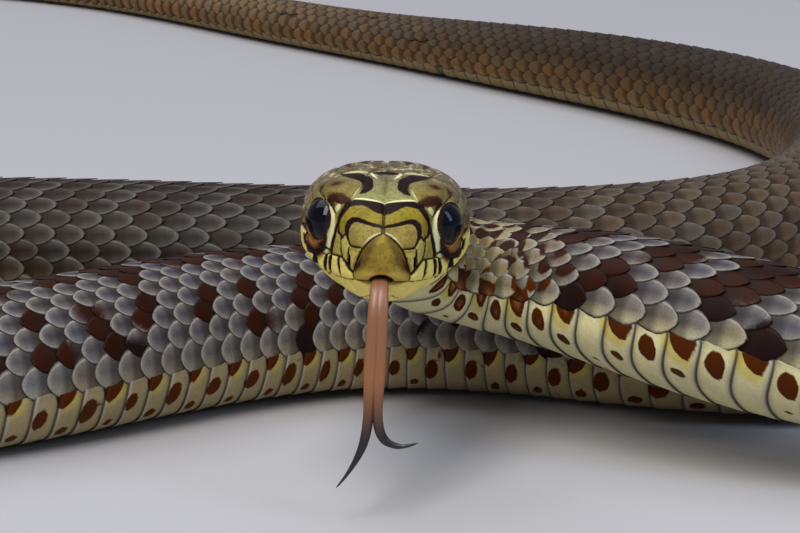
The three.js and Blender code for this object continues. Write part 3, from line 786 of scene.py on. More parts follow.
def stroke_depth(a, b, stroke):
    """Half width minus distance to a stroke drawn on a plane."""
    best = np.full(len(a), FAR_OFF)
    for (x0, y0, w0), (x1, y1, w1) in zip(stroke[:-1], stroke[1:]):
        length = (x1 - x0) ** 2 + (y1 - y0) ** 2
        share = np.clip(((a - x0) * (x1 - x0) + (b - y0) * (y1 - y0)) / length, 0, 1)
        gap = np.hypot(a - x0 - share * (x1 - x0), b - y0 - share * (y1 - y0))
        best = np.maximum(best, w0 + share * (w1 - w0) - gap)
    return best


def within(a, b, corners):
    """How far inside a plane shape places lie, less than zero outside it."""
    crossings = np.zeros(len(a), int)
    for (x0, y0), (x1, y1) in zip(corners, corners[1:] + corners[:1]):
        crosses = (y0 > b) != (y1 > b)
        crossings += crosses & (a < x0 + (b - y0) * (x1 - x0) / (y1 - y0 if y1 != y0 else 1))
    edge = -stroke_depth(a, b, [(x, y, 0) for x, y in corners + corners[:1]])
    return np.where(crossings % 2 == 1, edge, -edge)


def head_tint(s, rise, face):
    """Ground colour of the head's plates, and how mottled they are."""
    top = smooth(0.9, 1.7, rise)[:, None]
    tint = toward(chosen_colour("loreal") + 0 * top, chosen_colour("brow"), top)
    tint = toward(tint, chosen_colour("lip"), (1 - smooth(-1.2, -0.9, rise))[:, None])
    for name, corners in HEAD_ZONES:
        share = smooth(-0.05, 0.05, within(face.a, face.b, corners)) * face.seen
        tint = toward(tint, chosen_colour(name), share[:, None])
    behind = smooth(5.0, 8.6, s + 0.5 * rise)
    crown = (behind * smooth(-1.0, 0.0, rise))[:, None]
    tint = toward(tint, chosen_colour("crown"), crown)
    cheek = smooth(6.2, 8.0, s) * (1 - smooth(-0.6, 0.8, rise)) * smooth(-1.3, -1.0, rise)
    tint = toward(tint, chosen_colour("neck"), 0.7 * cheek[:, None])
    mottle = np.maximum(0.65 * smooth(-1.2, -0.6, rise), 1.3 * crown[:, 0])
    return tint, mottle


def coat_depth():
    """Skin to the top of the scales, in millimetres."""
    return bpy.context.scene.snake_sizes.coat_depth * 1000


def head_grid():
    """The head's fine grid: places, points, directions and outward normals."""
    rings = head_rings()
    angles = (np.arange(HEAD_COLUMNS) + 0.5) * 360 / HEAD_COLUMNS
    s, angle = np.meshgrid(rings, angles, indexing="ij")
    inset = (PLATE_INSET + (coat_depth() - PLATE_INSET) * smooth(10.6, 12.0, s)).ravel()
    s, angle = s.ravel(), angle.ravel()
    points, across, rise = surface(s, angle, inset)
    _, along, side, up, _ = frames_at(s)
    grid = points.reshape(len(rings), HEAD_COLUMNS, 3)
    wrapped = np.concatenate((grid[:, -1:], grid, grid[:, :1]), axis=1)
    round_way = wrapped[:, 2:] - wrapped[:, :-2]
    normal = np.cross(round_way, np.gradient(grid, axis=0)).reshape(-1, 3)
    outward = points - frames_at(np.maximum(s, 3.0))[0]
    normal *= np.sign((normal * outward).sum(1))[:, None]
    normal /= np.linalg.norm(normal, axis=1)[:, None] + 1e-9
    return SimpleNamespace(
        s=s, angle=angle, points=points, across=across, rise=rise, normal=normal,
        along=along, side=side, up=up, rings=len(rings),
        folded=np.c_[np.abs(across), s, rise],
    )


def eye_setting(head):
    """Where the head's points lie round the nearer eye, and how its opening moves them."""
    axis, ahead, above = eye_axes()
    spoke = head.folded - EYE_PLACE
    reach = np.linalg.norm(spoke, axis=1)
    off = np.degrees(np.arccos(np.clip((spoke @ axis) / np.maximum(reach, TINY), -1, 1)))
    swing = np.arctan2(spoke @ above, spoke @ ahead)
    opening = (EYE_OPENING + EYE_WIDER * np.maximum(0, np.cos(swing - math.radians(15))) ** 2
               + 3 * np.maximum(0, -np.sin(swing)) ** 2)
    rim = EYE_RADIUS + 0.07 - 0.5 * (1 - smooth(opening - 4, opening + 1, off))
    pull = 1 - smooth(opening + 7, EYE_OPENING + 22, off)
    change = (rim - reach) * pull / np.maximum(reach, TINY)
    return SimpleNamespace(
        shove=spoke * change[:, None], swing=swing,
        near=(reach < 2.6) & (head.folded[:, 0] > 1.5),
        beyond=(off - opening) * math.radians(EYE_RADIUS),
    )


def face_view(head, shove):
    """The animal's right half in the face view: place, slant and how well it is seen."""
    across, side = head.across, head.side
    twin = head.points - (across + np.abs(across))[:, None] * side
    twin = twin - shove[:, :1] * side + shove[:, 1:2] * head.along + shove[:, 2:] * head.up
    flipped = head.normal - ((across > 0) * 2 * (head.normal * side).sum(1))[:, None] * side
    sight = np.array(FACE_VIEWPOINT) - twin
    slant = (flipped * sight).sum(1) / np.linalg.norm(sight, axis=1)
    a, b = facing(twin)
    seen = smooth(-0.02, 0.12, slant) * (1 - smooth(7.4, 8.2, head.s))
    return SimpleNamespace(a=a, b=b, slant=slant, seen=seen, hidden=HIDDEN_LOSS * (1 - seen))


def drawn_marks(head, face):
    """Depth in each pigment and distance to the nearest seam, from the head's strokes."""
    cast = caster(np.c_[head.across, head.s, head.rise])
    spread = 1 / np.sqrt(np.clip(face.slant, 0.2, 1))
    depth = {name: np.full(len(head.s), NO_MARK) for name in PIGMENT_EDGES}
    gap = np.full(len(head.s), -FAR_OFF)
    for (view, kinds), strokes in HEAD_MARKS.items():
        for stroke in strokes:
            if view == "face":
                found = stroke_depth(face.a, face.b, stroke) - face.hidden
                line = [(x, y, 0) for x, y, _ in stroke]
                distance = -stroke_depth(face.a, face.b, line) * spread + face.hidden
            else:
                samples = trace(cast, view, stroke)
                found = depth_in(samples, head.folded)
                distance = -depth_in([(place, 0) for place, _ in samples], head.folded)
            for kind in kinds.split():
                if kind == "seam":
                    gap = np.minimum(gap, distance)
                else:
                    depth[kind] = np.maximum(depth[kind], found)
    return depth, np.clip(gap, 0, 1)


def head_relief(seam, on_plates, mouth, at_mouth, pit):
    """How far seams, lips and nostrils move the head's surface outwards."""
    relief = -0.1 * np.exp(-((seam / 0.085) ** 2)) + 0.05 * (1 - np.exp(-seam / 0.35))
    relief = relief * on_plates
    relief = relief + at_mouth * (
        -0.14 * np.exp(-((mouth / 0.06) ** 2))
        + 0.05 * smooth(0.02, 0.12, mouth) * (1 - smooth(0.3, 0.7, mouth))
        - 0.05 * smooth(0.02, 0.1, -mouth) * (1 - smooth(0.4, 0.9, -mouth))
    )
    return relief - 0.34 * smooth(-0.05, 0.09, pit)


def deepen(depth, name, value, where):
    """Adds a mark to a pigment where a condition holds."""
    depth[name] = np.maximum(depth[name], np.where(where, value, NO_MARK))


def mark_eyes(depth, eye):
    """The dark edge, pale fold, amber skin and brown shadow round the eyes."""
    near, beyond, swing = eye.near, eye.beyond, eye.swing
    deepen(depth, "dark", 0.045 - np.abs(beyond - 0.02), near)
    low = np.clip(-np.sin(swing + 0.35), 0, 1) ** 0.7
    rear = np.clip(-np.cos(swing), 0, 1)
    front = np.clip(np.cos(swing), 0, 1)
    share = low * smooth(-0.35, 0.3, -np.cos(swing))
    fold = 0.05 * share
    deepen(depth, "pale", fold - np.abs(beyond - 0.1), near)
    for name, reach_out in (("amber", 0.36 + 0.3 * rear - 0.4 * front),
                            ("maroon", 0.6 + 0.2 * rear)):
        inside = np.minimum(reach_out * low - beyond, beyond + 0.1 - 0.2 * share - fold)
        deepen(depth, name, inside, near & (beyond > -0.1) & (low > 0))


def mark_mouth(depth, rise, mouth, at_mouth, notch):
    """The dark line of the lips and the inside of the tongue's notch."""
    deepen(depth, "dark", 0.03 - np.abs(mouth + 0.02), at_mouth > 0.2)
    deepen(depth, "amber", 0.02 - np.abs(notch + 0.14) * 0.4, rise > NOTCH_LEVEL - 0.05)
    deepen(depth, "maroon", notch * 0.4 + 0.02, notch > -0.06)
    depth["dark"] = np.where(notch > 0.05, NO_MARK, depth["dark"])


def skin_head():
    """The head's skin: its grid, moved points, marks, ground colour and seams."""
    head = head_grid()
    eye = eye_setting(head)
    shove, rise = eye.shove, head.rise
    face = face_view(head, shove)
    depth, seam = drawn_marks(head, face)
    pit = stroke_depth(face.a, face.b, NOSTRIL) - face.hidden
    on_plates = 1 - smooth(11.2, 12.2, head.s)
    mouth = rise - through_rows(MOUTH, head.s)[:, 0]
    at_mouth = 1 - smooth(JAW_ANGLE - 1, JAW_ANGLE, head.s)
    relief = head_relief(seam, on_plates, mouth, at_mouth, pit)
    tall = np.where(rise > NOTCH_LEVEL, NOTCH_TALL, 0.1)
    notch = 1 - np.hypot(head.across / NOTCH_HALF, (rise - NOTCH_LEVEL) / tall)
    notch = np.where(head.s < NOTCH_END, notch, -1)
    moved = head.points + relief[:, None] * head.normal
    moved = moved + (0.9 * smooth(0, 0.4, notch))[:, None] * head.along
    sign = np.sign(head.across)[:, None]
    moved = (moved + shove[:, :1] * sign * head.side + shove[:, 1:2] * head.along
             + shove[:, 2:] * head.up)
    mark_eyes(depth, eye)
    deepen(depth, "dark", pit + 0.03, True)
    mark_mouth(depth, rise, mouth, at_mouth, notch)
    depth = {name: np.clip(value, NO_MARK, 1) for name, value in depth.items()}
    tint, mottle = head_tint(head.s, rise, face)
    depth["mottle"] = mottle * on_plates
    return head, moved, depth, tint, seam * on_plates + (1 - on_plates)


def skin_body():
    """The body's plain grid behind the head: points, s, angle and number of rings."""
    last, *close = BODY_LENGTH - np.array(TAIL_RINGS)
    count = int((BODY_LENGTH - SKIN_SPLIT) / BODY_GRAIN)
    rings = np.r_[np.linspace(SKIN_SPLIT, last, count), close]
    angles = (np.arange(BODY_COLUMNS) * COLUMN_STEP + 0.5) * 360 / HEAD_COLUMNS
    s, angle = (g.ravel() for g in np.meshgrid(rings, angles, indexing="ij"))
    points, _, _ = surface(s, angle, np.full(len(s), coat_depth()))
    return points, s, angle, len(rings)


def skin_faces(head_rows, body_rows):
    """The skin's faces, closed at both ends, and which points of the two grids stay."""
    head_size, body_size = head_rows * HEAD_COLUMNS, body_rows * BODY_COLUMNS
    hem = head_size - HEAD_COLUMNS
    faces = ring_faces(0, head_rows, HEAD_COLUMNS)
    for face in ring_faces(head_size, body_rows, BODY_COLUMNS):
        j = face[0] - head_size
        if j < BODY_COLUMNS:  # the fine grid's last ring is the plain grid's first
            edge = [hem + (j * COLUMN_STEP + k) % HEAD_COLUMNS for k in range(COLUMN_STEP + 1)]
            face = (*edge, face[2], face[3])
        faces.append(face)
    nose, tail = head_size + body_size, head_size + body_size + 1
    faces += [((j + 1) % HEAD_COLUMNS, j, nose) for j in range(HEAD_COLUMNS)]
    end = nose - BODY_COLUMNS
    faces += [(end + j, end + (j + 1) % BODY_COLUMNS, tail) for j in range(BODY_COLUMNS)]
    keep = np.ones(tail + 1, bool)
    keep[head_size:head_size + BODY_COLUMNS] = False
    renumber = np.cumsum(keep) - 1
    return [tuple(int(renumber[k]) for k in face) for face in faces], keep


def signed(angle):
    """Angles in degrees brought to -180 to 180."""
    return (np.asarray(angle) + 180) % 360 - 180


def write_attributes(mesh, rows):
    """Adds point attributes, each given as its name, type and values."""
    fields = {"FLOAT": "value", "FLOAT_COLOR": "color", "FLOAT_VECTOR": "vector"}
    for name, kind, values in rows:
        layer = mesh.attributes.new(name, kind, "POINT")
        layer.data.foreach_set(fields[kind], np.asarray(values, np.float32).ravel())


def mesh_object(name, points, faces, material, attributes=(), smooth_faces=True):
    """A mesh object in the part's frame, from points in metres."""
    mesh = bpy.data.meshes.new(name)
    mesh.from_pydata([tuple(p) for p in points], [], [tuple(map(int, f)) for f in faces])
    write_attributes(mesh, attributes)
    if smooth_faces:
        mesh.polygons.foreach_set("use_smooth", [True] * len(mesh.polygons))
    if material:
        mesh.materials.append(material)
    mesh.update()
    made = bpy.data.objects.new(name, mesh)
    bpy.context.scene.collection.objects.link(made)
    return made


def mark_attributes(depth, tint, strength, seam):
    """The attributes that the snake materials read."""
    rows = [(name, "FLOAT", value) for name, value in depth.items()]
    return [*rows, ("tint", "FLOAT_COLOR", np.c_[tint, np.ones(len(tint))]),
            ("strength", "FLOAT", strength), ("seam", "FLOAT", seam)]


BAKE_STRIPS = 4  # the skin's unwrap is folded into this many strips
BAKE_PATCH = 0.003  # side of one scale's or plate's patch in the bake map


def bake_place(s, angle):
    """Where a place lies on the skin's unwrap: its length folded into strips."""
    share = np.clip(np.asarray(s) / BODY_LENGTH, 0, 0.9999) * BAKE_STRIPS
    strip = np.floor(share)
    return share - strip, (strip + (signed(angle) + 180) / 360) / BAKE_STRIPS


def write_bake_map(made, u, v):
    """Writes the OFBake map from one place for each vertex."""
    mesh = made.data
    layer = mesh.uv_layers.new(name="OFBake")
    corners = np.empty(len(mesh.loops), np.int32)
    mesh.loops.foreach_get("vertex_index", corners)
    layer.data.foreach_set("uv", np.c_[u, v][corners].astype(np.float32).ravel())


# ------------------------------------------------------------------ materials

BROAD_GRAIN, FINE_GRAIN = 700.0, 5200.0  # waves of the noises in a metre
SPECK_GRAIN, CLOUD_GRAIN, LIGHT_GRAIN = 9500.0, 1300.0, 1900.0


def node(tree, kind, inputs=None, **settings):
    """Adds a node, with its settings and its inputs' values or links."""
    made = tree.nodes.new(kind)
    for key, value in settings.items():
        setattr(made, key, value)
    for key, value in (inputs or {}).items():
        if isinstance(value, bpy.types.NodeSocket):
            tree.links.new(value, made.inputs[key])
        else:
            made.inputs[key].default_value = value
    return made


def attribute(tree, name, output="Fac"):
    """A mesh attribute's output."""
    return node(tree, "ShaderNodeAttribute", attribute_name=name).outputs[output]


def maths(tree, operation, *values):
    """A Math node's result."""
    return node(tree, "ShaderNodeMath", dict(enumerate(values)), operation=operation).outputs[0]


def times(tree, first, second):
    """The product of two values."""
    return maths(tree, "MULTIPLY", first, second)


def rest(tree, share):
    """What a share leaves of 1."""
    return maths(tree, "SUBTRACT", 1.0, share)


def ramp(tree, value, low, high):
    """0 below low, 1 above high, an S curve between."""
    inputs = {"Value": value, "From Min": low, "From Max": high}
    made = node(tree, "ShaderNodeMapRange", inputs, interpolation_type="SMOOTHSTEP")
    return made.outputs["Result"]


def mixed(tree, factor, first, second):
    """A colour mix: the first at a factor of 0, the second at 1."""
    inputs = {0: factor, 6: first, 7: second}
    return node(tree, "ShaderNodeMix", inputs, data_type="RGBA").outputs[2]


def noise(tree, scale, detail=2.0):
    """Noise fixed to the object."""
    place = node(tree, "ShaderNodeTexCoord").outputs["Object"]
    inputs = {"Vector": place, "Scale": scale, "Detail": detail}
    return node(tree, "ShaderNodeTexNoise", inputs).outputs["Fac"]


def opaque(name):
    """One of the snake's colours for a socket."""
    return (*chosen_colour(name), 1.0)


def stained(tree, share, colour, name):
    """A colour with one of the snake's colours laid over it by a share."""
    return mixed(tree, share, colour, opaque(name))


def empty_material(name):
    """A material without nodes, and its tree."""
    made = bpy.data.materials.new(name)
    made.use_nodes = True
    made.node_tree.nodes.clear()
    return made, made.node_tree


def surfaced(tree, inputs):
    """Ends a material's tree in a Principled BSDF with the given inputs."""
    shader = node(tree, "ShaderNodeBsdfPrincipled", inputs)
    node(tree, "ShaderNodeOutputMaterial", {"Surface": shader.outputs[0]})


def bumped(tree, strength, distance, height):
    """A Bump node's normal."""
    inputs = {"Strength": strength, "Distance": distance, "Height": height}
    return node(tree, "ShaderNodeBump", inputs).outputs["Normal"]


def snake_material(name, roughness, on_scales, bump, speckled=0.0):
    """Skin or scale: ground colour, pigments by depth, plate seams, pale rims with painted sheen,
    and painted shade at the roots of scales and plates.
    """
    made, tree = empty_material(name)
    broad, fine = noise(tree, BROAD_GRAIN), noise(tree, FINE_GRAIN, 3.0)
    shade = maths(tree, "MULTIPLY_ADD", broad, 0.34, 0.83)
    grain = maths(tree, "MULTIPLY_ADD", fine, 0.3, 0.85)
    inputs = {0: attribute(tree, "tint", "Color"), 3: times(tree, shade, grain)}
    colour = node(tree, "ShaderNodeVectorMath", inputs, operation="SCALE").outputs[0]
    rough = 0.07 if on_scales else 0.05
    wobble = maths(tree, "MULTIPLY_ADD", fine, rough, -0.5 * rough)
    strength = attribute(tree, "strength")
    if on_scales:
        rim = attribute(tree, "rim")
        # The pale rim is the scales' own pale edge and also painted sheen, since their gloss is
        # kept low.
        share = maths(tree, "MULTIPLY_ADD", strength, 0.72, 0.02)
        edge = times(tree, rest(tree, ramp(tree, rim, 0.25, 1.05)), share)
        colour = stained(tree, edge, colour, "scale_rim_and_sheen")
        specks = ramp(tree, noise(tree, SPECK_GRAIN, 1.0), 0.52, 0.66)
        colour = stained(tree, times(tree, specks, speckled), colour, "seam")
    else:
        flecks = times(tree, ramp(tree, noise(tree, FINE_GRAIN), 0.5, 0.64), 0.7)
        clouds = times(tree, ramp(tree, noise(tree, CLOUD_GRAIN), 0.5, 0.62), 0.5)
        patchy = maths(tree, "MAXIMUM", flecks, clouds)
        mottle = attribute(tree, "mottle")
        light = times(tree, ramp(tree, noise(tree, LIGHT_GRAIN, 3.0), 0.5, 0.64), 0.6)
        light = times(tree, light, ramp(tree, mottle, 0.8, 1.3))
        colour = stained(tree, light, colour, "belly")
        colour = stained(tree, times(tree, patchy, mottle), colour, "shade")
    for pigment, width in PIGMENT_EDGES.items():
        depth = maths(tree, "ADD", attribute(tree, pigment), wobble)
        shown = times(tree, ramp(tree, depth, -width, width), strength)
        if pigment in ("yellow", "shade"):
            shown = times(tree, shown, 0.75)
        if pigment == "chestnut":
            rich = mixed(tree, ramp(tree, depth, 0.0, 0.9), opaque("chestnut"),
                         opaque("chestnut_deep"))
            colour = mixed(tree, shown, colour, rich)
        else:
            colour = stained(tree, shown, colour, pigment)
    if on_scales:
        # Painted shade: each scale darkens towards its root, under the scales in front, and each
        # belly plate towards its front edge.
        root = rest(tree, ramp(tree, attribute(tree, "along"), 0.34, 0.58))
        colour = stained(tree, times(tree, root, 0.6), colour, "seam")
        line = rest(tree, ramp(tree, rim, 0.1, 0.44))
        colour = stained(tree, times(tree, line, 0.8), colour, "seam")
    seam = rest(tree, ramp(tree, attribute(tree, "seam"), 0.02, 0.075))
    colour = stained(tree, times(tree, seam, 0.85), colour, "seam")
    surfaced(tree, {
        "Base Color": colour, "Roughness": roughness, "Specular IOR Level": 0.055,
        "Normal": bumped(tree, bump, 0.00004, fine),
    })
    return made


# ------------------------------------------------------------- scale instances

SCALE_ALONG = np.array((0.0, 0.3, 0.5, 0.66, 0.8, 0.92, 1.0))
SCALE_ACROSS = np.array((-1.0, -0.72, 0.0, 0.72, 1.0))
SCALE_WIDEST = 0.5
SCALE_TIP_WIDTH = 0.12
SCALE_WALL = 0.42  # how deep the sides of a scale go, in its own height
SCALE_HUB = (0, 0.45, -0.1)  # the point that closes its underside
SCALE_SEED = 5
FIRST_SCALE = 9.0
LAST_SCALE_GAP = 0.8
THROAT_ROWS, THROAT_PLACES = 9, 6
THROAT_START, THROAT_PITCH = 9.4, 1.25
THROAT_TUCK = 8.0  # degrees between the throat's scales and the lowest row
THROAT_WIDTH = 15.0  # degrees
SCALE_LIFT = 0.15  # how far a scale's free edge rises
SCALE_CROWN = 0.055  # how far its middle stands over its own bend
# Pieces of the coat: first and last s, slot.
SCALE_GROUPS = (
    ("scales_front", 0, 95, "spotted_scales"),
    ("scales_middle", 95, 185, "spotted_scales"),
    ("scales_rear", 185, 280, "plain_scales"),
    ("scales_hind", 280, 376, "plain_scales"),
    ("scales_tail", 376, 999, "plain_scales"),
)


def patch_faces(first, rows, columns):
    """Quads of an open grid whose points start at first."""
    faces = []
    for i in range(rows - 1):
        for j in range(columns - 1):
            a = first + i * columns + j
            faces.append((a, a + 1, a + columns + 1, a + columns))
    return faces


def rim_indices(rows, columns):
    """Indices of an open grid's points round its rim."""
    rim = list(range(columns))
    rim += [i * columns + columns - 1 for i in range(1, rows)]
    rim += [(rows - 1) * columns + j for j in range(columns - 2, -1, -1)]
    return rim + [i * columns for i in range(rows - 2, 0, -1)]


def scale_template():
    """One scale of unit length and width, root at zero, free edge along +Y."""
    ahead = np.clip((SCALE_ALONG - SCALE_WIDEST) / (1 - SCALE_WIDEST), 0, 1)
    behind = np.clip((SCALE_WIDEST - SCALE_ALONG) / SCALE_WIDEST, 0, 1)
    width = np.where(SCALE_ALONG > SCALE_WIDEST, (1 - ahead ** 1.65) ** 0.74,
                     1 - 0.4 * behind ** 1.6)
    width[-1] = SCALE_TIP_WIDTH
    t, u = np.meshgrid(SCALE_ALONG, SCALE_ACROSS, indexing="ij")
    w = width[:, None]
    y = t - 0.03 * u ** 2 * (t > 0.97)
    z = 1 - (w * u) ** 2 - 0.25 * t ** 5
    top = np.stack((0.5 * w * u, y, z), axis=-1).reshape(-1, 3)
    ring = rim_indices(*t.shape)
    low, hub = len(top), len(top) + len(ring)
    points = np.concatenate((top, top[ring] + np.array((0, 0, -SCALE_WALL)), [SCALE_HUB]))
    faces = patch_faces(0, *t.shape)
    for k, here in enumerate(ring):
        following = (k + 1) % len(ring)
        faces.append((ring[following], here, low + k, low + following))
        faces.append((low + following, low + k, hub))
    # How far each point is from the rim, from 0 at it to 1 well inside.
    inner = np.ones(t.shape)
    inner[:, (1, 3)] = 0.7
    inner[:, (0, -1)] = 0
    inner[-3, 2], inner[-2, 1:-1], inner[-1] = 0.85, 0.5, 0
    return points, faces, np.r_[inner.ravel(), np.zeros(len(ring) + 1)]


def scale_tree():
    """Geometry Nodes that set one scale on every root."""
    tree = bpy.data.node_groups.new("Overlapping scales", "GeometryNodeTree")
    face = tree.interface
    face.new_socket("Geometry", in_out="INPUT", socket_type="NodeSocketGeometry")
    face.new_socket("Geometry", in_out="OUTPUT", socket_type="NodeSocketGeometry")
    face.new_socket("Scale", in_out="INPUT", socket_type="NodeSocketObject")
    variation = face.new_socket("Size Variation", in_out="INPUT", socket_type="NodeSocketFloat")
    variation.default_value = bpy.context.scene.snake_sizes.size_variation
    seed = face.new_socket("Seed", in_out="INPUT", socket_type="NodeSocketInt")
    seed.default_value = SCALE_SEED
    face.new_socket("Finish", in_out="INPUT", socket_type="NodeSocketMaterial")
    source = node(tree, "NodeGroupInput").outputs
    chance = node(tree, "FunctionNodeRandomValue", {
        2: maths(tree, "SUBTRACT", 1.0, source["Size Variation"]),
        3: maths(tree, "ADD", 1.0, source["Size Variation"]),
        "Seed": source["Seed"],
    }, data_type="FLOAT")
    size, turn = (
        node(tree, "GeometryNodeInputNamedAttribute", {"Name": name},
             data_type="FLOAT_VECTOR").outputs[0]
        for name in ("size", "turn")
    )
    grown = node(tree, "ShaderNodeVectorMath", {0: size, 3: chance.outputs[1]},
                 operation="SCALE")
    info = node(tree, "GeometryNodeObjectInfo", {"Object": source["Scale"]})
    placed = node(tree, "GeometryNodeInstanceOnPoints", {
        "Points": source["Geometry"], "Instance": info.outputs["Geometry"],
        "Rotation": turn, "Scale": grown.outputs[0],
    })
    real = node(tree, "GeometryNodeRealizeInstances", {"Geometry": placed.outputs[0]})
    finish = node(tree, "GeometryNodeSetMaterial",
                  {"Geometry": real.outputs[0], "Material": source["Finish"]})
    node(tree, "NodeGroupOutput", {0: finish.outputs[0]})
    return tree


def row_layout(s):
    """Angles of the scale rows' middles, their widths, shares and phases at places s."""
    s = np.atleast_1d(s)[:, None]
    kept = 1 - smooth(ROW_ENDS - ROW_FADE, ROW_ENDS + ROW_FADE, s)
    widths = ROW_WIDTHS * kept
    half = np.c_[widths[:, :1] / 2, widths[:, 1:]]
    ends = np.cumsum(half, axis=1)
    middles = ends - half / 2
    middles[:, 0] = 0
    spread = VENTRAL_EDGE / ends[:, -1:]
    phase = 0.5 * np.cumsum(np.c_[0 * s, kept[:, 1:]], axis=1)
    return middles * spread, widths * spread, kept, phase


def coat_start(angle):
    """Where small scales take over from head plates, round the body."""
    return 11.6 - 1.2 * smooth(20, 75, np.abs(angle)) + 0.6 * smooth(90, 130, np.abs(angle))


def scale_roots():
    """All scale roots: s, signed angle, row width in degrees."""
    s = np.linspace(FIRST_SCALE, BODY_LENGTH - LAST_SCALE_GAP, 6000)
    middles, widths, kept, phase = row_layout(s)
    count = plate_count(s)
    roots = []
    for row in range(len(ROW_WIDTHS)):
        running = count + phase[:, row]
        for whole in range(int(np.ceil(running[0])), int(np.floor(running[-1])) + 1):
            at = float(np.interp(whole, running, s))
            share, angle, width = (
                float(np.interp(at, s, table[:, row])) for table in (kept, middles, widths)
            )
            if share < 0.5 or at <= coat_start(angle):
                continue
            for sign in ((1,) if row == 0 else (1, -1)):
                roots.append((at, sign * angle, width))
    lowest = VENTRAL_EDGE + THROAT_TUCK
    for row in range(THROAT_ROWS):
        angle = lowest + (row + 0.5) * (360 - 2 * lowest) / THROAT_ROWS
        for k in range(THROAT_PLACES):
            at = THROAT_START + THROAT_PITCH * (k + 0.5 * (row % 2))
            if at < FIRST_PLATE + 0.6:
                roots.append((at, float(signed(angle)), THROAT_WIDTH))
    return np.array(sorted(roots))


def place_scales(roots):
    """Root points, turns as Euler angles and sizes for a set of roots."""
    sizes = bpy.context.scene.snake_sizes
    s, angle, width = roots.T
    pitch = np.where(np.abs(angle) > VENTRAL_EDGE, THROAT_PITCH, plate_pitch(s))
    length = pitch * sizes.scale_overlap
    inset = np.full(len(s), coat_depth())
    root = surface(s, angle, inset)[0]
    tip = surface(np.minimum(s + length, BODY_LENGTH), angle, inset)[0]
    mid = np.minimum(s + 0.5 * length, BODY_LENGTH)
    right = surface(mid, angle + width / 2, inset)[0]
    left = surface(mid, angle - width / 2, inset)[0]
    run = np.linalg.norm(tip - root, axis=1)
    length = np.clip(run, 0.8 * length, 1.25 * length)
    wide = np.linalg.norm(right - left, axis=1) * sizes.scale_spread
    sag = wide ** 2 / (8 * np.maximum(radius_at(mid) - coat_depth(), 0.3))
    out = unit(np.cross(unit(right - left), (tip - root) / run[:, None]))
    lift = SCALE_LIFT * np.clip(length / 2.7, 0.3, 1)
    along = unit((tip - root) / run[:, None] * length[:, None] + out * lift[:, None])
    across = unit(np.cross(along, out))
    out = np.cross(across, along)
    root = root - out * sag[:, None] * 0.9
    turns = [Matrix(axes).transposed().to_euler("XYZ")[:] for axes in zip(across, along, out)]
    scale = np.c_[wide, length, sag + SCALE_CROWN * np.clip(wide / 1.7, 0.35, 1)] / 1000
    return to_metres(root), np.array(turns), scale


def evaluated_copy(holder, name):
    """The plain mesh that a holder's modifiers make, as a new object."""
    graph = bpy.context.evaluated_depsgraph_get()
    mesh = bpy.data.meshes.new_from_object(holder.evaluated_get(graph))
    made = bpy.data.objects.new(name, mesh)
    bpy.context.scene.collection.objects.link(made)
    return made


def outwards(made):
    """Turns every face of a closed mesh outwards."""
    shape = bmesh.new()
    shape.from_mesh(made.data)
    bmesh.ops.recalc_face_normals(shape, faces=shape.faces)
    shape.to_mesh(made.data)
    shape.free()


def finish_piece(made, replaced=()):
    """Tells the frame what a piece rides on and what it replaces."""
    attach(made, "root")
    if replaced:
        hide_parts(*replaced)


# ------------------------------------------------------------------ operators


class SNAKE_OT_skin(bpy.types.Operator):
    """Makes the one skin from snout to tail tip"""

    bl_idname = "snake.skin"
    bl_label = "Skin"

    def execute(self, context):
        head, head_points, depth, tint, seam = skin_head()
        body_points, body_s, body_angle, body_rings = skin_body()
        head_angle, body_angle = signed(head.angle), signed(body_angle)
        blend = smooth(10.6, 12.4, head.s)
        marks, body_depth = body_marks(head.s, head_angle), body_marks(body_s, body_angle)
        # Painted shade: the skin under the scales is darkened so that the gaps between them look
        # shaded.
        ground = body_tint(head.s, head_angle) * UNDER_COAT_SHADE
        tint = tint * (1 - blend[:, None]) + ground * blend[:, None]
        body_ground = body_tint(body_s, body_angle) * UNDER_COAT_SHADE
        ends = (0.0, BODY_LENGTH)
        nose, tail = (surface(np.array((s,)), np.array((0.0,)), np.array((inset,)))[0]
                      for s, inset in zip(ends, (PLATE_INSET, 0.0)))
        points = np.concatenate((head_points, body_points, nose, tail))
        for name, value in depth.items():
            value = value * (1 - blend) + marks[name] * blend
            depth[name] = np.r_[value, body_depth[name], NO_MARK, NO_MARK]
        tint = np.concatenate((tint, body_ground, tint[:1], body_ground[-1:]))
        seam = np.r_[seam, np.ones(len(body_points)), 1, 1]
        strength = np.r_[np.ones(len(head_points)), body_strength(body_s), 1, 0]
        faces, keep = skin_faces(head.rings, body_rings)
        rows = [(name, kind, np.asarray(values)[keep])
                for name, kind, values in mark_attributes(depth, tint, strength, seam)]
        material = snake_material("Snake skin", 0.36, on_scales=False, bump=0.35)
        made = mesh_object("snake_skin", to_metres(points[keep]), faces, material, rows)
        finish_piece(made, NODES_OF_FLESH)
        return {"FINISHED"}


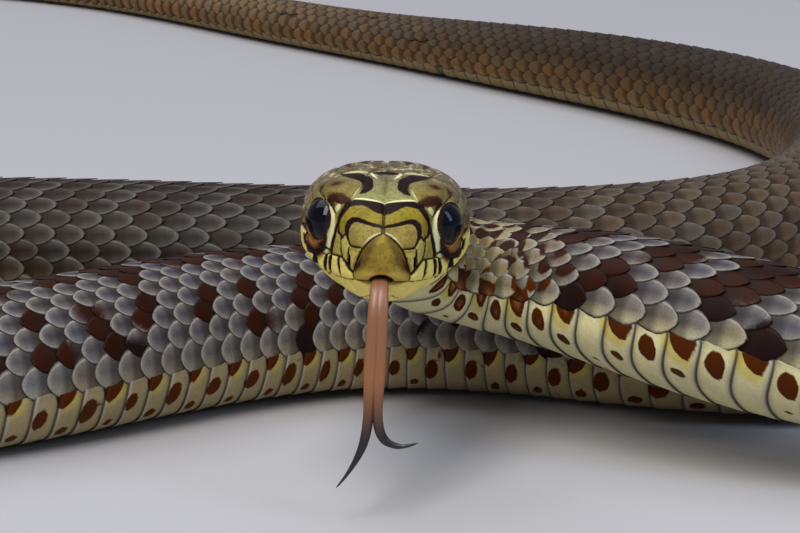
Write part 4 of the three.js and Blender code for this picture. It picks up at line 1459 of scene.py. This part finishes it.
class SNAKE_OT_scales(bpy.types.Operator):
    """Sets the overlapping scales of the back and flanks"""

    bl_idname = "snake.scales"
    bl_label = "Scales"

    def execute(self, context):
        points, faces, rim = scale_template()
        template = mesh_object("scale_template", points, faces, None, [
            ("rim", "FLOAT", rim), ("along", "FLOAT", points[:, 1]),
        ])
        tree = scale_tree()
        material = snake_material("Scales", 0.4, on_scales=True, bump=0.3, speckled=0.22)
        inputs = {item.name: item.identifier for item in tree.interface.items_tree
                  if item.in_out == "INPUT"}
        roots = scale_roots()
        for name, low, high, slot in SCALE_GROUPS:
            chosen = roots[(roots[:, 0] >= low) & (roots[:, 0] < high)]
            place, turns, scale = place_scales(chosen)
            holder = mesh_object(name + "_roots", place, [], None, [
                ("turn", "FLOAT_VECTOR", turns), ("size", "FLOAT_VECTOR", scale),
            ])
            modifier = holder.modifiers.new("Scales", "NODES")
            modifier.node_group = tree
            modifier[inputs["Scale"]] = template
            modifier[inputs["Size Variation"]] = context.scene.snake_sizes.size_variation
            modifier[inputs["Seed"]] = SCALE_SEED
            modifier[inputs["Finish"]] = material
            made = evaluated_copy(holder, name)
            bpy.data.objects.remove(holder)
            if len(made.data.vertices) != len(points) * len(chosen):
                raise RuntimeError(f"{name}: the scales didn't all come out")
            self.paint(made, chosen, scale * 1000, points)
            finish_piece(made)
        bpy.data.objects.remove(template)
        return {"FINISHED"}

    def paint(self, made, chosen, scale, points):
        """Writes the marks, ground colour and bake map of every scale."""
        each = len(points)
        s, angle, _ = (np.repeat(column, each) for column in chosen.T)
        wide, long = np.repeat(scale[:, 0], each), np.repeat(scale[:, 1], each)
        x, y = np.tile(points[:, 0], len(chosen)), np.tile(points[:, 1], len(chosen))
        turned = np.degrees(x * wide / np.maximum(radius_at(s), 0.3))
        middle = 0.62
        middle_s = s + middle * long
        # A scale mostly has one colour: marks are read nearer to its middle than they are.
        drawn = 0.12 + 0.6 * (1 - smooth(27, 34, s))
        mark_s = middle_s + (y - middle) * long * drawn
        depth = body_marks(mark_s, angle + turned * drawn)
        tint = body_tint(middle_s, angle + turned)
        vary = np.random.default_rng(3).normal(1, 0.07, len(chosen))
        warm = np.random.default_rng(4).normal(0, 0.055, (len(chosen), 1))
        warm = warm * np.array((1, 0, -1.2))
        tint = tint * np.repeat(vary, each)[:, None] * (1 + np.repeat(warm, each, axis=0))
        write_attributes(made.data, mark_attributes(
            depth, np.clip(tint, 0, 1), body_strength(mark_s), np.ones(len(s))))
        made.data.polygons.foreach_set("use_smooth", [True] * len(made.data.polygons))
        u, v = bake_place(s, angle)
        write_bake_map(made, u + x * BAKE_PATCH, v + (y - 0.5) * BAKE_PATCH)


class SNAKE_OT_belly_plates(bpy.types.Operator):
    """Makes the wide belly plates and the paired plates under the tail"""

    bl_idname = "snake.belly_plates"
    bl_label = "Belly Plates"

    COLUMNS, ROWS = 34, 6
    LAP = 1.22  # a plate's length in pitches
    TUCK = 1.5  # degrees that plates reach under the lowest scales
    TAIL_LAP = 2.0  # degrees that the tail's pairs reach past the middle

    def execute(self, context):
        low, high = VENTRAL_EDGE - self.TUCK, 360 - VENTRAL_EDGE + self.TUCK
        count = context.scene.snake_sizes.belly_plates
        plates = [(n, low, high, self.COLUMNS) for n in range(count)]
        material = snake_material("Belly plates", 0.42, on_scales=True, bump=0.2, speckled=0.12)
        self.build("belly_plates", "spotted_scales", plates, material, 1)
        plates = []
        for n in range(count, int(plate_count(BODY_LENGTH - 2.0))):
            plates.append((n, low, 180 + self.TAIL_LAP, self.COLUMNS // 2))
            plates.append((n + 0.5, 180 - self.TAIL_LAP, high, self.COLUMNS // 2))
        self.build("tail_plates", "plain_scales", plates, material, 0.6)
        return {"FINISHED"}

    def build(self, name, slot, plates, material, swept):
        """Joins a list of plates, each one closed, to one piece."""
        coat = coat_depth()
        points, faces, at_s, at_angle, rim, along, u, v = [], [], [], [], [], [], [], []
        base = 0
        for start, low, high, width in plates:
            grid_t, grid_q = np.meshgrid(
                np.linspace(0, 1, self.ROWS), np.linspace(0, 1, width), indexing="ij")
            ends = np.abs(2 * grid_q - 1) ** 8
            angle = low + (high - low) * grid_q
            sweep = plate_sweep(angle) * swept
            s = plate_place(start + self.LAP * grid_t * (1 - 0.14 * ends) + sweep)
            height = 0.02 + 0.75 * coat * (0.2 + 0.6 * grid_t ** 1.4) * (1 - 0.6 * ends)
            size = np.clip(radius_at(s.ravel()).reshape(s.shape) / 3.5, 0.25, 1)
            inset = coat - height * size
            points += [surface(s.ravel(), angle.ravel(), depth.ravel())[0]
                       for depth in (inset, inset + 0.05 * size)]
            count = self.ROWS * width
            faces += patch_faces(base, self.ROWS, width)
            faces += [face[::-1] for face in patch_faces(base + count, self.ROWS, width)]
            edge = rim_indices(self.ROWS, width)
            for here, following in zip(edge, edge[1:] + edge[:1]):
                a, b = base + following, base + here
                faces.append((a, b, b + count, a + count))
            inner = np.minimum(1, (1 - grid_t) * 6.5).ravel()
            place_u, place_v = bake_place(plate_place(start), 180.0)
            # The plates' along starts at 0.35, so the material paints shade on each plate's front
            # edge, under the plate before it.
            for rows, values in (
                (at_s, s), (at_angle, angle), (along, 0.35 + 0.65 * grid_t),
                (u, place_u + (grid_t - 0.5) * BAKE_PATCH),
                (v, place_v + (grid_q - 0.5) * BAKE_PATCH),
            ):
                rows += [values.ravel()] * 2
            rim += [inner, 0 * inner]
            base += 2 * count
        at_s, at_angle = np.concatenate(at_s), signed(np.concatenate(at_angle))
        rows = mark_attributes(body_marks(at_s, at_angle), body_tint(at_s, at_angle),
                               body_strength(at_s), np.ones(len(at_s)))
        rows += [("rim", "FLOAT", np.concatenate(rim)), ("along", "FLOAT", np.concatenate(along))]
        made = mesh_object(name, to_metres(np.concatenate(points)), faces, material, rows)
        write_bake_map(made, np.concatenate(u), np.concatenate(v))
        finish_piece(made)


class SNAKE_OT_eyes(bpy.types.Operator):
    """Makes both eyes: round pupil, thin iris and wet clear cap"""

    bl_idname = "snake.eyes"
    bl_label = "Eyes"

    RINGS, COLUMNS = 36, 56
    PUPIL_EDGE = (53.0, 55.5)  # degrees from the eye's axis

    def execute(self, context):
        material, tree = empty_material("Eye")
        off = ramp(tree, attribute(tree, "off_axis"), *self.PUPIL_EDGE)
        surfaced(tree, {
            "Base Color": stained(tree, off, opaque("pupil"), "iris"), "Roughness": 0.04,
            "IOR": 1.32, "Specular Tint": (0.78, 0.84, 1.0, 1.0),
        })
        _, along, side, up, _ = frames_at(np.array((EYE_PLACE[1],)))
        (out, back, high), _, _ = eye_axes()
        polar = np.linspace(0, np.pi, self.RINGS + 1)[1:-1]
        round_way = np.arange(self.COLUMNS) * 2 * np.pi / self.COLUMNS
        p, r = (g.ravel() for g in np.meshgrid(polar, round_way, indexing="ij"))
        count, low = len(p), len(p) - self.COLUMNS
        faces = [face[::-1] for face in ring_faces(0, self.RINGS - 1, self.COLUMNS)]
        for j in range(self.COLUMNS):
            following = (j + 1) % self.COLUMNS
            faces.append((j, following, count))
            faces.append((low + following, low + j, count + 1))
        for name, sign, centre in zip(("eye_right", "eye_left"), (-1, 1), eye_centres()):
            axis = sign * out * side[0] + back * along[0] + high * up[0]
            first = np.cross(axis, up[0])
            first /= np.linalg.norm(first)
            second = np.cross(axis, first)
            rays = (np.cos(p)[:, None] * axis + (np.sin(p) * np.cos(r))[:, None] * first
                    + (np.sin(p) * np.sin(r))[:, None] * second)
            rays = np.concatenate((rays, axis[None], -axis[None]))
            made = mesh_object(name + "_wet", to_metres(centre + EYE_RADIUS * rays), faces,
                               material, [("off_axis", "FLOAT", np.r_[np.degrees(p), 0, 180])])
            outwards(made)
            finish_piece(made, (name,))
        return {"FINISHED"}


class SNAKE_OT_tongue(bpy.types.Operator):
    """Makes the forked tongue as two joined lobes that part at the fork"""

    bl_idname = "snake.tongue"
    bl_label = "Tongue"

    SIDES, STEPS = 20, 110
    APART = np.array((0.11, 0.11, 0.13, 0.16, 0.19, 0.2, 0.2, 0.2))  # a lobe from the middle
    GROOVE = 0.2  # where the groove lies, from a lobe's middle

    def material(self):
        """Pink-brown at the root and black at the tips, with painted shade along the groove."""
        made, tree = empty_material("Tongue")
        run = attribute(tree, "run")
        grain = noise(tree, 2600.0, 3.0)
        colour = stained(tree, ramp(tree, run, 0.3, 0.55), opaque("tongue_root"), "tongue")
        colour = stained(tree, ramp(tree, run, 0.48, 0.74), colour, "tongue_tip")
        # Painted shade: a dark line along the shallow groove between the lobes.
        groove = rest(tree, ramp(tree, attribute(tree, "groove"), 0.01, 0.09))
        groove = times(tree, groove, ramp(tree, run, 0.26, 0.34))
        surfaced(tree, {
            "Base Color": stained(tree, times(tree, groove, 0.6), colour, "tongue_tip"),
            "Roughness": 0.42, "Coat Weight": 0.12, "Coat Roughness": 0.25,
            "Normal": bumped(tree, 0.3, 0.00005, grain),
        })
        return made

    def execute(self, context):
        t = np.linspace(0, 1, self.STEPS)
        taper = 1 - 0.8 * smooth(0.66, 1.0, t)
        tip = np.sqrt(np.clip((1 - t) / 0.03, 0.02, 1))
        wide = (0.38 + 0.04 * smooth(0.1, 0.4, t) - 0.12 * smooth(0.5, 0.66, t)) * taper * tip
        deep = 0.32 * taper * tip
        turn = np.arange(self.SIDES) * 2 * np.pi / self.SIDES
        flat = np.sign(np.cos(turn)) * np.abs(np.cos(turn)) ** 0.6
        points, faces, groove = [], [], []
        base = 0
        for sign, tine in zip((-1, 1), TONGUE_TINES):
            shaft = TONGUE_SHAFT + np.c_[sign * self.APART, 0 * self.APART, 0 * self.APART]
            path = np.concatenate((shaft, tine))
            centre = spline(path, t * (len(path) - 3))
            along = unit(np.gradient(centre, axis=0))
            back = unit(np.cross((1.0, 0, 0), along))
            side = np.cross(along, back)
            ring = (centre[:, None] + (wide[:, None] * np.sin(turn))[..., None] * side[:, None]
                    + (deep[:, None] * flat)[..., None] * back[:, None])
            points.append(np.concatenate((ring.reshape(-1, 3), centre[:1], centre[-1:])))
            faces += ring_faces(base, self.STEPS, self.SIDES)
            hub = base + self.STEPS * self.SIDES
            low = hub - self.SIDES
            for j in range(self.SIDES):
                following = (j + 1) % self.SIDES
                faces.append((base + following, base + j, hub))
                faces.append((low + j, low + following, hub + 1))
            off = ring[..., 0] - centre[:, :1] + sign * self.GROOVE
            groove.append(np.r_[np.abs(off).ravel(), 1, 1])
            base = hub + 2
        run = np.tile(np.r_[np.repeat(t, self.SIDES), 0, 1], 2)
        made = mesh_object("tongue_forked", to_metres(np.concatenate(points)), faces,
                           self.material(), [("run", "FLOAT", run),
                                             ("groove", "FLOAT", np.concatenate(groove))])
        outwards(made)
        finish_piece(made, ("tongue",))
        return {"FINISHED"}


# Lamps: place from the lit middle in metres, width, height, share of the key's power,
# colour.
LAMPS = (
    ("Key", (-0.1, -0.25, 0.4), 0.15, 0.42, 1.0, (1.0, 0.98, 0.94)),
    ("Top", (-0.14, 0.12, 0.5), 0.5, 0.5, 0.8, (0.84, 0.89, 1.0)),
    ("Window", (0.33, -0.2, 0.32), 0.14, 0.42, 0.45, (0.58, 0.72, 1.0)),
)
LIT_MIDDLE = (0, 12, 8)
SKY_COLOUR = (0.86, 0.9, 1.0, 1)


class SNAKE_OT_stage(bpy.types.Operator):
    """Lays the floor, hangs the lamps and sets the camera"""

    bl_idname = "snake.stage"
    bl_label = "Stage"

    def execute(self, context):
        scene, stage = context.scene, context.scene.snake_stage
        half = stage.floor_size / 2
        corners = [(-half, -half, 0), (half, -half, 0), (half, half, 0), (-half, half, 0)]
        material = bpy.data.materials.new("Floor")
        material.use_nodes = True
        shader = material.node_tree.nodes["Principled BSDF"]
        shader.inputs["Base Color"].default_value = (*stage.floor_colour, 1.0)
        shader.inputs["Roughness"].default_value = 0.7
        mesh_object("floor", corners, [(0, 1, 2, 3)], material, smooth_faces=False)
        world = bpy.data.worlds.new("Studio")
        world.use_nodes = True
        sky = world.node_tree.nodes["Background"]
        sky.inputs["Color"].default_value = SKY_COLOUR
        sky.inputs["Strength"].default_value = stage.sky_strength
        scene.world = world
        scene.view_settings.view_transform = "Standard"
        middle = Vector(to_metres(LIT_MIDDLE))
        for name, place, wide, tall, share, colour in LAMPS:
            lamp = bpy.data.lights.new(name, "AREA")
            lamp.shape = "RECTANGLE"
            lamp.size, lamp.size_y = wide, tall
            lamp.energy = stage.key_power * share
            lamp.color = colour
            held = bpy.data.objects.new(name, lamp)
            held.location = middle + Vector(place)
            held.rotation_euler = (-Vector(place)).to_track_quat("-Z", "Y").to_euler()
            scene.collection.objects.link(held)
        lens = bpy.data.cameras.new("Camera")
        lens.lens = stage.lens
        lens.sensor_width = 36
        lens.clip_start, lens.clip_end = 0.005, 10
        camera = bpy.data.objects.new("Camera", lens)
        camera.location = to_metres(stage.viewpoint[:])
        camera.rotation_euler = (math.pi / 2 - stage.view_down, 0, 0)
        scene.collection.objects.link(camera)
        scene.camera = camera
        return {"FINISHED"}


# ----------------------------------------------------------------- properties


def colour_property(name, description, *rgb):
    """A colour given as 8-bit display values."""
    return bpy.props.FloatVectorProperty(
        name=name, description=description, subtype="COLOR", size=3, min=0, max=1,
        default=tuple(float(c) for c in linear(*rgb)),
    )


class SnakeSizes(bpy.types.PropertyGroup):
    """Sizes and counts of the coat"""

    coat_depth: bpy.props.FloatProperty(
        name="Coat Depth", description="Skin to the top of the scales",
        default=0.00022, min=0.0001, max=0.0005, unit="LENGTH", precision=5)
    belly_plates: bpy.props.IntProperty(
        name="Belly Plates", description="Wide plates from throat to vent",
        default=183, min=150, max=200)
    scale_overlap: bpy.props.FloatProperty(
        name="Scale Length", description="A scale's length in row pitches",
        default=1.32, min=1.0, max=2.0, subtype="FACTOR")
    scale_spread: bpy.props.FloatProperty(
        name="Scale Width", description="A scale's width in row widths",
        default=1.5, min=1.0, max=2.0, subtype="FACTOR")
    size_variation: bpy.props.FloatProperty(
        name="Size Variation", description="Random change of each scale's size",
        default=0.025, min=0, max=0.2, subtype="FACTOR")


class SnakeColours(bpy.types.PropertyGroup):
    """Colours of the plates, scales and marks"""

    back: colour_property("Back", "Spotted part's scales", 64, 59, 64)
    neck: colour_property("Neck", "Scales of the neck", 138, 122, 78)
    # Plain part's scales: their own darker brown, deepened as painted shade.
    rear_back: colour_property("Rear Back", "Plain part's scales", 38, 31, 26)
    flank: colour_property("Flank", "Lowest rows, front", 94, 89, 86)
    rear_flank: colour_property("Rear Flank", "Lowest rows, rear", 104, 76, 44)
    tail_back: colour_property("Tail", "Scales of the tail", 110, 91, 68)
    belly: colour_property("Belly", "Belly plates, front", 196, 188, 142)
    # Rear belly colour: also paints the shade on the belly from s 60 on.
    rear_belly: colour_property("Rear Belly", "Belly plates, rear", 134, 114, 78)
    # Pale edge of a scale, which also serves as painted sheen.
    scale_rim_and_sheen: colour_property("Scale Rim", "Pale edge of a scale", 158, 153, 142)
    head_plate: colour_property("Prefrontals", "Plates before the eyes", 134, 118, 38)
    snout: colour_property("Rostral", "Plate at the snout's tip", 148, 126, 50)
    internasal: colour_property("Internasals", "Plates between the nostrils", 138, 122, 60)
    nasal: colour_property("Nasals", "Plates round the nostrils", 180, 164, 84)
    loreal: colour_property("Loreal", "Plates before and behind the eye", 158, 144, 70)
    brow: colour_property("Brow", "Plates over the eyes", 126, 111, 52)
    lip: colour_property("Lips", "Lip plates and jaw", 232, 212, 116)
    frontal: colour_property("Frontal", "Plate between the eyes", 134, 132, 82)
    crown: colour_property("Crown", "Back of the head", 106, 97, 76)
    pale: colour_property("Pale Marks", "Whitish plate edges", 208, 203, 152)
    yellow: colour_property("Yellow Marks", "Yellow beside the spots", 184, 166, 76)
    chestnut: colour_property("Chestnut", "Back blotches, edge", 46, 18, 5)
    chestnut_deep: colour_property("Deep Chestnut", "Back blotches, middle", 32, 13, 5)
    shade: colour_property("Shading", "Soft brown shading on the head", 70, 50, 24)
    maroon: colour_property("Maroon", "Brow and neck marks", 50, 25, 14)
    rust: colour_property("Rust", "Belly spots", 72, 31, 2)
    amber: colour_property("Amber", "Skin under the eye", 178, 120, 64)
    dark: colour_property("Dark Marks", "Head bands and darkest spots", 28, 14, 13)
    # Seam colour: also paints the shade at the roots of scales and plates.
    seam: colour_property("Seams", "Seams between plates", 30, 20, 14)
    pupil: colour_property("Pupil", "Eye", 5, 5, 8)
    iris: colour_property("Iris", "Thin ring of the iris", 30, 20, 14)
    tongue_root: colour_property("Tongue Root", "Tongue near the mouth", 128, 84, 56)
    tongue: colour_property("Tongue", "Tongue's middle", 144, 90, 50)
    # Fork colour, which also paints the shade along the tongue's groove.
    tongue_tip: colour_property("Tongue Tips", "Fork", 20, 14, 14)


class SnakeStage(bpy.types.PropertyGroup):
    """Floor, light and camera"""

    floor_size: bpy.props.FloatProperty(
        name="Floor Size", description="Side of the square floor", default=4.0, min=0.5,
        unit="LENGTH")
    floor_colour: bpy.props.FloatVectorProperty(
        name="Floor", description="Floor colour", subtype="COLOR", size=3, min=0, max=1,
        default=(0.37, 0.357, 0.362))
    sky_strength: bpy.props.FloatProperty(
        name="Sky", description="Strength of the surrounding light", default=0.3, min=0)
    key_power: bpy.props.FloatProperty(
        name="Key Power", description="Power of the main lamp in watts", default=2.2, min=0)
    lens: bpy.props.FloatProperty(
        name="Lens", description="Focal length", default=153.0, min=10, unit="CAMERA")
    viewpoint: bpy.props.FloatVectorProperty(
        name="Viewpoint", description="Camera's place on the body line's own zero, millimetres",
        size=3, default=FACE_VIEWPOINT)
    view_down: bpy.props.FloatProperty(
        name="View Down", description="Camera's tilt below the level",
        default=FACE_DOWN, unit="ROTATION")


BUILDERS = (SNAKE_OT_skin, SNAKE_OT_scales, SNAKE_OT_belly_plates, SNAKE_OT_eyes,
            SNAKE_OT_tongue, SNAKE_OT_stage)


class SNAKE_PT_build(bpy.types.Panel):
    """Lists the snake's pieces and their settings"""

    bl_idname = "SNAKE_PT_build"
    bl_label = "Young Racer Snake"
    bl_space_type = "VIEW_3D"
    bl_region_type = "UI"
    bl_category = "Snake"

    def draw(self, context):
        column = self.layout.column()
        for builder in BUILDERS:
            column.operator(builder.bl_idname)
        scene = context.scene
        for group in (scene.snake_sizes, scene.snake_colours, scene.snake_stage):
            for key in group.__annotations__:
                column.prop(group, key)


CLASSES = (SnakeSizes, SnakeColours, SnakeStage, *BUILDERS, SNAKE_PT_build)


def register():
    """Adds the classes and the scene's settings."""
    for item in CLASSES:
        bpy.utils.register_class(item)
    bpy.types.Scene.snake_sizes = bpy.props.PointerProperty(type=SnakeSizes)
    bpy.types.Scene.snake_colours = bpy.props.PointerProperty(type=SnakeColours)
    bpy.types.Scene.snake_stage = bpy.props.PointerProperty(type=SnakeStage)


def unregister():
    """Takes the classes and the settings away."""
    del bpy.types.Scene.snake_stage
    del bpy.types.Scene.snake_colours
    del bpy.types.Scene.snake_sizes
    for item in reversed(CLASSES):
        bpy.utils.unregister_class(item)


def main():
    """Builds every piece."""
    register()
    bpy.ops.snake.skin()
    bpy.ops.snake.scales()
    bpy.ops.snake.belly_plates()
    bpy.ops.snake.eyes()
    bpy.ops.snake.tongue()
    bpy.ops.snake.stage()


if __name__ == "__main__":
    main()
